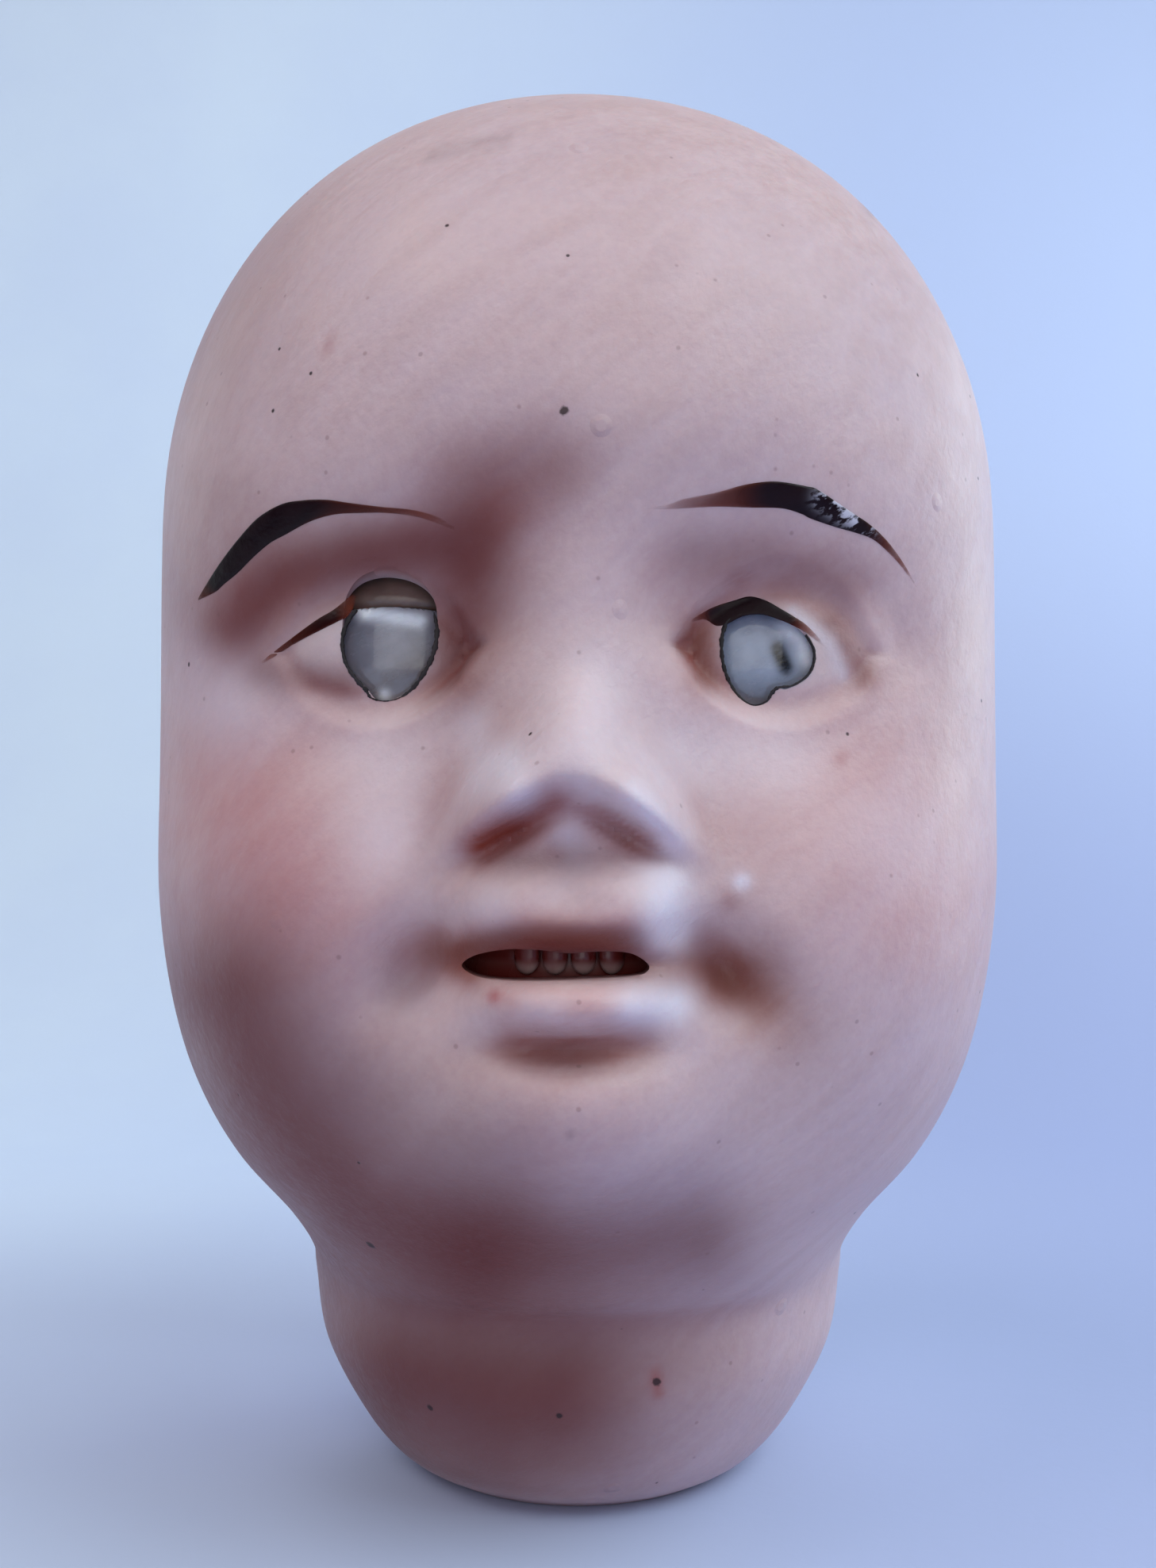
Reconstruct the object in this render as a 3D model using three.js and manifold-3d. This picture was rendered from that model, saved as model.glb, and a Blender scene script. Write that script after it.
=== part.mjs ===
// Bisque doll head with sleeping glass eyes, an open crown under a cork pate,
// and a sprung stringing hook in its socket neck.
// Millimetres, +Z up, the face looks along -Y, and x is positive on the doll's left.
import * as THREE from "three";
import { mergeVertices } from "three/addons/utils/BufferGeometryUtils.js";
import Module from "manifold-3d";

const wasm = await Module();
wasm.setup();

// Driving dimensions of the bisque casting
const headWidth = 49;
const headHeight = 80.8;
const faceDepth = 29;
const backDepth = 23.5;
const neckHeight = 11.4;
const neckRadius = 16.3;
const neckHoleRadius = 7.5;
const neckFloor = 2.6;
const wall = 3;
const hollowWall = 1.6;
const domeHeight = 55.5;
const domeForward = 4.7;
const faceLean = -0.4;

// Driving dimensions of the eyes
const eyeSpacing = 18.1;
const eyeHeight = 45.5;
const eyeballRadius = 6.9;
const glassWall = 0.85;
const lidWax = 0.4;
const eyeRimWall = 0.4;
const lidRim = 0.12;

// Driving dimensions of the rocker and its weight
const wireRadius = 0.6;
const crossWireBack = 5.2;
const weightHeight = 26;
const weightBack = 6.5;
const weightRadius = 4.5;

// Driving dimensions of the neck hardware
const hookWireRadius = 0.6;
const hookBendRadius = 2;
const hookTipRise = 0.9;
const buttonThickness = 4.8;
const washerRadius = 3.7;
const washerThickness = 0.7;
const springWireRadius = 0.35;
const springRadius = 2.5;
const springLength = 8.6;
const springTurns = 6;
const closedPitchShare = 3.3;
const nutRadius = 2.7;
const nutHeight = 2.2;
const hookFoot = 0.5;
const hookHead = 0.6;

// Gaps and the overrun that every cut shares
const runningGap = 0.3;
const seatGap = 0.3;
const coatGap = 0.05;
const overrun = 2;
const shortestEdge = 0.01;

// How finely the pieces are divided
const outerColumns = 60;
const innerColumns = 24;
const outerRowShare = 1;
const innerRowShare = 0.36;
const pateRowShare = 0.7;
const frontDensityShare = 0.58;
const domeRows = 8;
const roundSides = 20;
const mouthSteps = 8;
const toothSteps = 6;
const lidSteps = 7;
const nutSides = 6;
const bendSteps = 8;
const hookSteps = 30;
const hookSides = 4;
const springStepsPerTurn = 8;
const springSides = 5;
const springGapSteps = 40;

const halfWidth = headWidth / 2;
const faceSpan = domeHeight - neckHeight;
const domeRise = headHeight - domeHeight;
const eyeX = eyeSpacing / 2;
const pocketRadius = eyeballRadius + runningGap;
const scleraRadius = pocketRadius + eyeRimWall;

// Neck outline from the rim up: height in neck heights, radius in neck radii, rows to the next
const neckShares = [
  [0, 0.594, 1],
  [0.105, 0.711, 2],
  [0.307, 0.827, 2],
  [0.658, 0.956, 2],
];
// Head sections from the crease up: height in face spans, half width, front and back in their own
// depths, how far the section's middle has moved forward, how round it is, rows to the next
const faceShares = [
  [0, 0.664, 0.552, 0.69, 0, 1, 1],
  [0.045, 0.667, 0.625, 0.694, 0.15, 0.98, 1],
  [0.104, 0.717, 0.71, 0.711, 0.35, 0.96, 2],
  [0.184, 0.823, 0.795, 0.745, 0.6, 0.93, 3],
  [0.274, 0.897, 0.855, 0.791, 0.8, 0.9, 4],
  [0.376, 0.948, 0.882, 0.847, 0.9, 0.88, 6],
  [0.512, 0.984, 0.893, 0.911, 1, 0.87, 7],
  [0.671, 0.996, 0.908, 0.966, 1, 0.87, 7],
  [0.83, 1, 0.955, 0.996, 1, 0.88, 4],
  [0.921, 1, 0.99, 1, 1, 0.89, 2],
];
const domeRoundShare = 0.9;
const domeSideShare = 0.845;
// The curve through the sections leans on this angle of the dome, so that it joins it smoothly
const domeLead = THREE.MathUtils.degToRad(8);
// The soft forms fade out as the surface turns from the face, up to this cosine
const facingShare = 0.3;

// Soft forms of the face: sideways place, height in face spans, then width, height and how far it
// stands out, in half head widths, how square its fall is, its height below in that above, and how
// steeply it slants down away from the middle. Those with a sideways place have a twin.
const faceFormShares = [
  [0, 1.07, 0.62, 0.34, 0.022, 2, 1, 0],
  [0, 0.77, 0.2, 0.22, 0.055, 2, 1, 0],
  [0, 0.617, 0.175, 0.16, 0.18, 2.6, 0.5, 0.5],
  [0.14, 0.58, 0.075, 0.085, 0.045, 2.4, 0.7, 0.3],
  [0.085, 0.566, 0.085, 0.032, -0.1, 2, 1, 0.55],
  [0, 0.46, 0.34, 0.28, 0.11, 2.2, 1, 0],
  [0, 0.495, 0.19, 0.085, 0.075, 3.6, 0.8, 0],
  [0.09, 0.46, 0.09, 0.04, 0.015, 2, 0.6, 0],
  [0, 0.52, 0.04, 0.05, -0.018, 2, 1, 0],
  [0, 0.437, 0.17, 0.024, -0.035, 3, 1, 0],
  [0.02, 0.4, 0.135, 0.05, 0.05, 3, 1, 0],
  [0, 0.352, 0.14, 0.035, -0.055, 2, 1, 0],
  [0, 0.27, 0.26, 0.17, 0.155, 2.3, 1.1, 0],
  [0.285, 0.425, 0.095, 0.09, -0.1, 2, 1, 0.35],
  [0.57, 0.45, 0.34, 0.38, 0.125, 2, 1, 0],
  [0.27, 0.55, 0.08, 0.15, -0.03, 2, 1, 0.3],
  [0.34, 0.8, 0.25, 0.17, -0.07, 2, 0.6, 0],
  [0.2, 0.8, 0.12, 0.14, -0.04, 2, 0.8, 0],
  [0.58, 0.78, 0.14, 0.12, -0.03, 2, 0.8, 0],
  [0.13, 0.91, 0.16, 0.11, -0.016, 2, 1, 0],
  [0.37, 0.69, 0.24, 0.13, -0.035, 2, 1, 0],
];
// The slants begin gently within this distance of the middle, in half head widths
const slantStartShare = 0.04;

// Moulded eye: how far the almond between the lids lies outwards, its half width and half height,
// and the widths of its sloping edge and of the lids' blend, in eyeball radii
const almondOutShare = 0.087;
const almondWidthShare = 0.62;
const almondHeightShare = 0.34;
const almondRoundShare = 0.8;
const lidEdgeShare = 0.27;
const lidBlendShare = 0.25;
// The sclera stands this far out of the neck axis, in face depths
const eyeFrontShare = 0.862;
const eyeY = scleraRadius - eyeFrontShare * faceDepth;
// Cut eye openings: centre height from the eye axis, half width, top and bottom, in eyeball radii
const rightOpeningShares = [0.072, 0.33, 0.5, 0.435];
const leftOpeningShares = [-0.03, 0.33, 0.38, 0.365];

// Moulded ear: its middle behind the neck axis and up the face span, half sizes and lean back
const earBackShare = 0.16;
const earHeightShare = 0.68;
const earHalfWidth = 4.1;
const earHalfHeight = 6.9;
const earLean = THREE.MathUtils.degToRad(12);
const earSides = 18;
const earRootShare = 0.1;
const earEggShare = 0.2;
const earFlareShare = 0.45;
// Rings of the ear from its root over the rim into the hollow: size, and height in half widths
const earRingShares = [
  [0.86, -0.5],
  [0.98, 0.2],
  [1, 0.48],
  [0.93, 0.62],
  [0.8, 0.6],
  [0.66, 0.32],
  [0.46, 0.2],
  [0.24, 0.18],
];

// Crown opening: the slant of its plane, and how far out it lies, in dome rises
const crownTilt = THREE.MathUtils.degToRad(32);
const crownPlaneShare = 0.71;
const pateSkirt = 3;
const pateWall = 3.4;
const skirtWall = 2.2;

// Mouth slit and teeth, widths in half head widths, heights in face spans
const mouthHeightShare = 0.437;
const mouthHalfWidthShare = 0.165;
const mouthHalfOpening = 0.75;
const toothCount = 4;
const toothWidth = 1.3;
const toothDrop = 1.7;
const gumHeight = 1.6;
const toothThickness = 1.1;
const toothBend = 7;
const lipWall = 1.5;
const mouthPocketShares = [0.31, 0.2, 0.32];

// Plaster, cork and lid places around the eyes
const glassBack = 4.2;
const plugFront = 1;
const stubRadius = 3;
const stubBack = 6.1;
const padRadius = 10.4;
const padInset = 2.6;
const capBack = 3.5;
const corkRadius = 3.4;
const lidTop = THREE.MathUtils.degToRad(122);
const rightLidEdge = THREE.MathUtils.degToRad(14);
const leftLidEdge = THREE.MathUtils.degToRad(24);

function smooth(low, high, value) {
  return THREE.MathUtils.smoothstep(value, low, high);
}

// The larger of two heights, with the corner between them rounded over a blend width
function softMax(a, b, blend) {
  const h = Math.max(blend - Math.abs(a - b), 0) / blend;
  return Math.max(a, b) + (h * h * blend) / 4;
}

// A closed mesh as a solid that can be joined and cut
function solid(geometry) {
  const bare = geometry.clone();
  for (const name of Object.keys(bare.attributes)) {
    if (name !== "position") bare.deleteAttribute(name);
  }
  const merged = mergeVertices(bare);
  return new wasm.Manifold(
    new wasm.Mesh({
      numProp: 3,
      vertProperties: new Float32Array(merged.attributes.position.array),
      triVerts: new Uint32Array(merged.index.array),
    }),
  );
}

// A solid as a geometry, with edges too short to keep drawn to one point
function geometryOf(shape) {
  const mesh = shape.getMesh();
  const places = new THREE.BufferAttribute(mesh.vertProperties, 3);
  const kept = Array.from({ length: places.count }, (_, i) => i);
  const keptOf = (i) => (kept[i] === i ? i : keptOf(kept[i]));
  const [p, q] = [new THREE.Vector3(), new THREE.Vector3()];
  for (let i = 0; i < mesh.triVerts.length; i++) {
    const other = i % 3 === 2 ? i - 2 : i + 1;
    const [a, b] = [keptOf(mesh.triVerts[i]), keptOf(mesh.triVerts[other])];
    p.fromBufferAttribute(places, a);
    q.fromBufferAttribute(places, b);
    if (p.distanceTo(q) < shortestEdge) kept[Math.max(a, b)] = Math.min(a, b);
  }
  const triangles = [];
  for (let i = 0; i < mesh.triVerts.length; i += 3) {
    const [a, b, c] = Array.from(mesh.triVerts.subarray(i, i + 3), keptOf);
    if (a !== b && b !== c && c !== a) triangles.push(a, b, c);
  }
  const geometry = new THREE.BufferGeometry();
  geometry.setAttribute("position", places);
  geometry.setIndex(triangles);
  geometry.computeVertexNormals();
  return geometry;
}

// A closed surface through rings of points, with a flat or pointed cap at each end
function ringSolid(rings) {
  const count = rings[0].length;
  const points = rings.flat();
  const triangles = [];
  for (let row = 0; row + 1 < rings.length; row++) {
    for (let column = 0; column < count; column++) {
      const next = (column + 1) % count;
      const a = row * count + column;
      const b = row * count + next;
      const [c, d] = [b + count, a + count];
      if (2 * column < count) triangles.push(a, b, c, a, c, d);
      else triangles.push(a, b, d, b, c, d);
    }
  }
  const middle = (ring) =>
    ring.reduce((sum, p) => sum.add(p), new THREE.Vector3()).divideScalar(ring.length);
  const bottom = points.push(middle(rings[0])) - 1;
  const top = points.push(middle(rings[rings.length - 1])) - 1;
  const last = (rings.length - 1) * count;
  for (let column = 0; column < count; column++) {
    const next = (column + 1) % count;
    triangles.push(bottom, next, column, top, last + column, last + next);
  }
  const geometry = new THREE.BufferGeometry().setFromPoints(points);
  geometry.setIndex(triangles);
  return solid(geometry);
}

function ball(radius, x, y, z) {
  return solid(new THREE.SphereGeometry(radius, roundSides, roundSides / 2).translate(x, y, z));
}

function block(width, depth, height, x, y, z) {
  return solid(new THREE.BoxGeometry(width, depth, height).translate(x, y, z));
}

// A round rod along x, y or z
function rod(radius, length, axis, x, y, z) {
  const geometry = new THREE.CylinderGeometry(radius, radius, length, roundSides);
  if (axis === "x") geometry.rotateZ(Math.PI / 2);
  if (axis === "z") geometry.rotateX(Math.PI / 2);
  return solid(geometry.translate(x, y, z));
}

// A piece turned about the z axis, from its radius and height pairs
function turned(profile) {
  const points = profile.map(([radius, z]) => new THREE.Vector2(radius, z));
  return solid(new THREE.LatheGeometry(points, roundSides).rotateX(Math.PI / 2));
}

// Sections of the head for a surface that lies an inset inside the outer one
function sections(inset) {
  const stations = neckShares.map(([height, radius, rows]) => {
    const r = radius * neckRadius - inset;
    return { z: height * neckHeight, a: r, f: r, b: r, c: 0, e: 1, rows };
  });
  for (const [height, width, front, back, forward, round, rows] of faceShares) {
    stations.push({
      z: neckHeight + height * faceSpan,
      a: width * halfWidth - inset,
      f: front * faceDepth - inset,
      b: back * backDepth - inset,
      c: forward * domeForward,
      e: round,
      rows,
    });
  }
  stations.push(domeSection(0, inset), domeSection(domeLead, inset));
  return stations;
}

// Section of the dome at an angle above its widest level
function domeSection(angle, inset) {
  const reach = Math.max(Math.cos(angle), 0) ** domeRoundShare;
  const side = Math.max(Math.cos(angle), 0) ** domeSideShare;
  return {
    z: domeHeight + (domeRise - inset) * Math.sin(angle),
    a: (halfWidth - inset) * side,
    f: domeForward + (faceDepth - domeForward - inset) * reach,
    b: (backDepth + domeForward - inset) * side - domeForward,
    c: domeForward,
    e: domeRoundShare + (1 - domeRoundShare) * Math.sin(angle),
  };
}

// Every row of the head: cubic curves through the sections, then the dome's arc
function headRows(inset, rowShare) {
  const stations = sections(inset);
  const outline = new THREE.CatmullRomCurve3(
    stations.map((s) => new THREE.Vector3(s.z, s.a, s.f)),
    false,
    "catmullrom",
  );
  const middle = new THREE.CatmullRomCurve3(
    stations.map((s) => new THREE.Vector3(s.b, s.c, s.e)),
    false,
    "catmullrom",
  );
  const rows = [];
  stations.slice(0, -2).forEach((station, index) => {
    const count = Math.max(1, Math.round(station.rows * rowShare));
    for (let step = 0; step < count; step++) {
      const t = (index + step / count) / (stations.length - 1);
      const [p, q] = [outline.getPoint(t), middle.getPoint(t)];
      rows.push({ z: p.x, a: p.y, f: p.z, b: q.x, c: q.y, e: q.z });
    }
  });
  const domeCount = Math.round(domeRows * rowShare);
  for (let step = 0; step < domeCount; step++) {
    rows.push(domeSection((step / domeCount) * (Math.PI / 2), inset));
  }
  return rows;
}

// Point of a section at an angle from the middle of the face
function sectionPoint(row, angle) {
  const [s, c] = [Math.sin(angle), Math.cos(angle)];
  const x = row.a * Math.sign(s) * Math.abs(s) ** row.e;
  const depth = c > 0 ? row.f - row.c : -(row.b + row.c);
  const y = -row.c - depth * Math.abs(c) ** row.e;
  return new THREE.Vector3(x, y, row.z);
}

// How far the soft forms of the face stand out at a place on it. Below the eyes they lean sideways.
function faceRelief(x, z) {
  const across = x - faceLean * (1 - smooth(eyeHeight - eyeballRadius, eyeHeight, z));
  const outward = Math.hypot(across / halfWidth, slantStartShare) - slantStartShare;
  let out = 0;
  for (const [side, height, width, tall, stand, square, belowShare, slant] of faceFormShares) {
    const rise = (z - neckHeight - height * faceSpan) / halfWidth + slant * (outward - side);
    const q = rise / (rise < 0 ? tall * belowShare : tall);
    for (const twin of side ? [-side, side] : [side]) {
      const p = (across / halfWidth - twin) / width;
      out += stand * halfWidth * Math.exp(-(Math.hypot(p, q) ** square));
    }
  }
  return out;
}

// The moulded eye: lids swell over the ball, and the almond between them shows the sclera
function eyeSurface(forward, x, z) {
  const dx = Math.abs(x) - eyeX;
  const dz = z - eyeHeight;
  const reach = dx * dx + dz * dz;
  const lidRadius = scleraRadius + lidRim;
  if (reach > (eyeballRadius + lidRim) ** 2) return forward;
  const lid = Math.sqrt(lidRadius ** 2 - reach) - eyeY;
  const sclera = Math.sqrt(scleraRadius ** 2 - reach) - eyeY;
  const lidded = softMax(forward, lid, lidBlendShare * eyeballRadius);
  const q = (dx / eyeballRadius - almondOutShare) / almondWidthShare;
  const arch = Math.sign(1 - q * q) * Math.abs(1 - q * q) ** almondRoundShare;
  const above = almondHeightShare * arch - Math.abs(dz) / eyeballRadius;
  return lidded + (sclera - lidded) * smooth(-lidEdgeShare, 0, above);
}

// A closed ear cast against the side of the head: an egg of rings that rise to a rim and fall
// into the hollow, standing out further behind than in front
function ear(side) {
  const centre = { y: earBackShare * halfWidth, z: neckHeight + earHeightShare * faceSpan };
  const root = reachAt(centre.z, 0).side - earRootShare * earHalfWidth;
  const rings = earRingShares.map(([size, rise]) => {
    const ring = [];
    for (let step = 0; step < earSides; step++) {
      const angle = side * (step / earSides) * 2 * Math.PI;
      const up = Math.sin(angle);
      const back = Math.cos(angle) * (1 + earEggShare * up);
      const p = back * size * earHalfWidth;
      const q = up * size * earHalfHeight;
      const stand = rise * earHalfWidth * (1 + earFlareShare * back * size);
      ring.push(new THREE.Vector3(
        side * (root + stand),
        centre.y + p * Math.cos(earLean) + q * Math.sin(earLean),
        centre.z - p * Math.sin(earLean) + q * Math.cos(earLean),
      ));
    }
    return ring;
  });
  return ringSolid(rings);
}

// The whole head as a solid with its face, or plain but for the hollows that its wall follows
function headForm(inset, columns, rowShare, sculpted) {
  const rings = headRows(inset, rowShare).map((row) => {
    const ring = [];
    for (let column = 0; column < columns; column++) {
      const even = (column / columns) * 2 * Math.PI;
      const angle = even - frontDensityShare * Math.sin(even);
      const point = sectionPoint(row, angle);
      const facing = smooth(0, facingShare, Math.cos(angle));
      if (sculpted) {
        const forward = -point.y + faceRelief(point.x, point.z) * facing;
        point.y = -(facing > 0 ? eyeSurface(forward, point.x, point.z) : forward);
      } else {
        point.y -= Math.min(faceRelief(point.x, point.z) + wall - hollowWall, 0) * facing;
      }
      ring.push(point);
    }
    return ring;
  });
  return ringSolid(rings);
}

// Everything above the slanted crown plane, raised by a distance
function aboveCrown(raise) {
  const size = 2 * (headWidth + headHeight);
  const geometry = new THREE.BoxGeometry(size, size, size);
  geometry.translate(0, 0, size / 2 + crownPlaneShare * domeRise + raise);
  geometry.rotateX(-crownTilt);
  return solid(geometry.translate(0, -domeForward, domeHeight));
}

// A cutter through the face with the outline of one eye opening
function eyeOpening(side, shares) {
  const [rise, width, top, bottom] = shares.map((share) => share * eyeballRadius);
  const outline = new THREE.Shape();
  for (let step = 0; step < roundSides; step++) {
    const angle = (step / roundSides) * 2 * Math.PI;
    const tall = Math.sin(angle) > 0 ? top : bottom;
    outline[step ? "lineTo" : "moveTo"](width * Math.cos(angle), tall * Math.sin(angle));
  }
  const geometry = new THREE.ExtrudeGeometry(outline, {
    depth: faceDepth - domeForward,
    bevelEnabled: false,
  });
  geometry.rotateX(Math.PI / 2);
  return solid(geometry.translate(side * eyeX, -domeForward - pocketRadius, eyeHeight + rise));
}

function headShell() {
  let shell = headForm(0, outerColumns, outerRowShare, true);
  shell = shell.add(ear(1)).add(ear(-1));
  shell = shell.subtract(innerForm(wall).subtract(eyeCap(-1)).subtract(eyeCap(1)));
  shell = shell.subtract(aboveCrown(0));
  const hole = rod(neckHoleRadius, 2 * (neckFloor + overrun), "z", 0, 0, 0);
  shell = shell.subtract(hole);
  for (const [side, shares] of [[-1, rightOpeningShares], [1, leftOpeningShares]]) {
    shell = shell.subtract(ball(pocketRadius, side * eyeX, eyeY, eyeHeight));
    shell = shell.subtract(eyeOpening(side, shares));
  }
  return shell.subtract(mouthPocket()).subtract(mouthSlit());
}

// Bisque that backs the nose side of an eye's front, where the hollow would break through
function eyeCap(side) {
  const width = eyeX + padInset - seatGap;
  const front = block(width, faceDepth, headHeight, 0, 0, 0);
  const y = eyeY - capBack - faceDepth / 2;
  return eyeBall(side, scleraRadius).intersect(front.translate(side * width / 2, y, eyeHeight));
}

// The inside of the casting, closed below by the neck floor
function innerForm(inset) {
  const size = 2 * headWidth;
  const below = block(size, size, size, 0, 0, neckFloor - size / 2);
  return headForm(inset, innerColumns, innerRowShare, false).subtract(below);
}

function mouthSlit() {
  const half = mouthHalfWidthShare * halfWidth;
  const outline = new THREE.Shape();
  outline.moveTo(-half, 0);
  outline.quadraticCurveTo(0, 2 * mouthHalfOpening, half, 0);
  outline.quadraticCurveTo(0, -2 * mouthHalfOpening, -half, 0);
  const geometry = new THREE.ExtrudeGeometry(outline, {
    depth: faceDepth,
    bevelEnabled: false,
    curveSegments: mouthSteps,
  });
  geometry.rotateX(Math.PI / 2);
  return solid(geometry.translate(faceLean, -domeForward - overrun, mouthZ));
}

// Front, side and least reach of the plain head at a height
function reachAt(height, inset) {
  const rows = headRows(inset, 1);
  const above = Math.max(rows.findIndex((row) => row.z >= height), 1);
  const [low, high] = [rows[above - 1], rows[above]];
  const t = (height - low.z) / (high.z - low.z);
  const front = low.f + t * (high.f - low.f);
  const side = low.a + t * (high.a - low.a);
  const back = low.b + t * (high.b - low.b);
  return { front, side, least: Math.min(front, side, back) };
}

const mouthZ = neckHeight + mouthHeightShare * faceSpan;
const lipFront = reachAt(mouthZ, 0).front + lipStand();

// How far the closed lips stand out of the plain face
function lipStand() {
  return faceRelief(faceLean, mouthZ);
}

// The hollow behind the lips that brings the wall there down to its own thickness
function mouthPocket() {
  const [x, y, z] = mouthPocketShares.map((share) => share * halfWidth);
  const geometry = new THREE.SphereGeometry(1, roundSides, roundSides / 2).scale(x, y, z);
  return solid(geometry.translate(faceLean, y + lipWall - lipFront, mouthZ));
}

// One strip of gum with rounded teeth under it, bent round the jaw
function upperTeeth() {
  const half = (toothCount * toothWidth) / 2;
  const outline = new THREE.Shape();
  const gumSteps = 2 * toothCount;
  for (let step = 0; step <= gumSteps; step++) {
    const x = half - (2 * half * step) / gumSteps;
    outline[step ? "lineTo" : "moveTo"](x, gumHeight);
  }
  for (let tooth = 0; tooth < toothCount; tooth++) {
    const left = tooth * toothWidth - half;
    outline.lineTo(left, 0);
    outline.bezierCurveTo(left, -toothDrop, left + toothWidth, -toothDrop, left + toothWidth, 0);
  }
  const geometry = new THREE.ExtrudeGeometry(outline, {
    depth: toothThickness,
    bevelEnabled: false,
    curveSegments: toothSteps,
  });
  geometry.rotateX(Math.PI / 2);
  const place = geometry.attributes.position;
  const front = lipWall + seatGap - lipFront;
  for (let i = 0; i < place.count; i++) {
    const bend = place.getX(i) ** 2 / (2 * toothBend);
    place.setXYZ(i, place.getX(i), place.getY(i) + front + toothThickness + bend, place.getZ(i));
  }
  return solid(geometry.translate(faceLean, 0, mouthZ + mouthHalfOpening));
}

// A wedge along the eye axis between two angles above the line of sight
function lidWedge(side, from, to) {
  const reach = 2 * eyeballRadius;
  const outline = new THREE.Shape();
  outline.moveTo(0, 0);
  for (let step = 0; step <= lidSteps; step++) {
    const angle = from + ((to - from) * step) / lidSteps;
    outline.lineTo(-reach * Math.cos(angle), reach * Math.sin(angle));
  }
  const geometry = new THREE.ExtrudeGeometry(outline, { depth: 2 * reach, bevelEnabled: false });
  geometry.rotateX(Math.PI / 2);
  geometry.rotateZ(Math.PI / 2);
  return solid(geometry.translate(side * eyeX - reach, eyeY, eyeHeight));
}

function eyeBall(side, radius) {
  return ball(radius, side * eyeX, eyeY, eyeHeight);
}

// Blown glass, open behind, with a shallow step that the lid wax fills
function glassEye(side, lidEdge) {
  const size = headWidth;
  const behind = block(size, size, size, side * eyeX, eyeY + glassBack + size / 2, eyeHeight);
  const bed = eyeBall(side, eyeballRadius - lidWax - coatGap);
  const step = lidWedge(side, lidEdge, lidTop).subtract(bed);
  return eyeBall(side, eyeballRadius)
    .subtract(eyeBall(side, eyeballRadius - glassWall))
    .subtract(behind)
    .subtract(step);
}

function waxLid(side, lidEdge) {
  const edge = coatGap / eyeballRadius;
  return eyeBall(side, eyeballRadius)
    .subtract(eyeBall(side, eyeballRadius - lidWax))
    .intersect(lidWedge(side, lidEdge + edge, lidTop - edge));
}

// Plaster poured into the back of the glass, with a stub round the cross wire
function eyePlaster(side) {
  const x = side * eyeX;
  const depth = glassBack - plugFront;
  const slab = block(headWidth, depth, headWidth, x, eyeY + plugFront + depth / 2, eyeHeight);
  const length = stubBack - plugFront;
  const stub = rod(stubRadius, length, "y", x, eyeY + plugFront + length / 2, eyeHeight);
  const bore = wireRadius + seatGap;
  return eyeBall(side, eyeballRadius - glassWall - seatGap)
    .intersect(slab)
    .add(stub)
    .subtract(rod(bore, headWidth, "x", x, eyeY + crossWireBack, eyeHeight));
}

const crossWireAt = new THREE.Vector3(0, eyeY + crossWireBack, eyeHeight);
const weightAt = new THREE.Vector3(0, eyeY + weightBack, weightHeight);

// A round bar from one point to another
function bar(from, to, radius) {
  const along = to.clone().sub(from);
  const geometry = new THREE.CylinderGeometry(radius, radius, along.length(), roundSides / 2);
  const up = new THREE.Vector3(0, 1, 0);
  geometry.applyQuaternion(new THREE.Quaternion().setFromUnitVectors(up, along.normalize()));
  const middle = from.clone().add(to).divideScalar(2);
  return solid(geometry.translate(middle.x, middle.y, middle.z));
}

function rockerWire() {
  const half = eyeX + stubRadius - seatGap;
  const cross = rod(wireRadius, 2 * half, "x", 0, crossWireAt.y, eyeHeight);
  return cross.add(bar(crossWireAt, weightAt, wireRadius));
}

function leadWeight() {
  const along = weightAt.clone().sub(crossWireAt).normalize();
  const bottom = weightAt.clone().addScaledVector(along, seatGap);
  return ball(weightRadius, 0, weightAt.y, weightAt.z)
    .subtract(bar(crossWireAt, bottom, wireRadius + seatGap));
}

// A plaster cup between the outer side of a glass eye and the temple
function socketPad(side) {
  const size = headWidth;
  const x = side * (eyeX + padInset + size / 2);
  const outside = block(size, size, size, x, eyeY, eyeHeight);
  return ball(padRadius, side * eyeX, eyeY, eyeHeight)
    .intersect(innerForm(wall + seatGap))
    .intersect(outside)
    .subtract(eyeBall(side, pocketRadius));
}

function chinCork() {
  const rest = weightAt.y - weightRadius - seatGap;
  const length = faceDepth + rest;
  return rod(corkRadius, length, "y", 0, rest - length / 2, weightAt.z)
    .intersect(innerForm(wall + seatGap));
}

// A cork dome that carries the head's curve on over the crown, with a skirt inside its rim
function crownPate() {
  const dome = headForm(0, outerColumns, pateRowShare, false)
    .subtract(headForm(pateWall, innerColumns, innerRowShare, false))
    .intersect(aboveCrown(seatGap));
  const skirt = innerForm(wall + seatGap)
    .subtract(innerForm(wall + seatGap + skirtWall))
    .intersect(aboveCrown(-pateSkirt))
    .subtract(aboveCrown(skirtWall));
  return dome.add(skirt);
}

// Heights of the hook stack, each piece a seat above the last
const hookBend = hookFoot + hookWireRadius + hookBendRadius;
const buttonBottom = hookBend + hookTipRise + runningGap + hookWireRadius;
const buttonTop = buttonBottom + buttonThickness;
const washerBottom = buttonTop + seatGap;
const springBottom = washerBottom + washerThickness + seatGap;
const springTop = springBottom + springLength;
const capBottom = springTop + seatGap;
const nutBottom = capBottom + washerThickness + seatGap;
const hookTop = nutBottom + nutHeight + hookHead;

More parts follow.
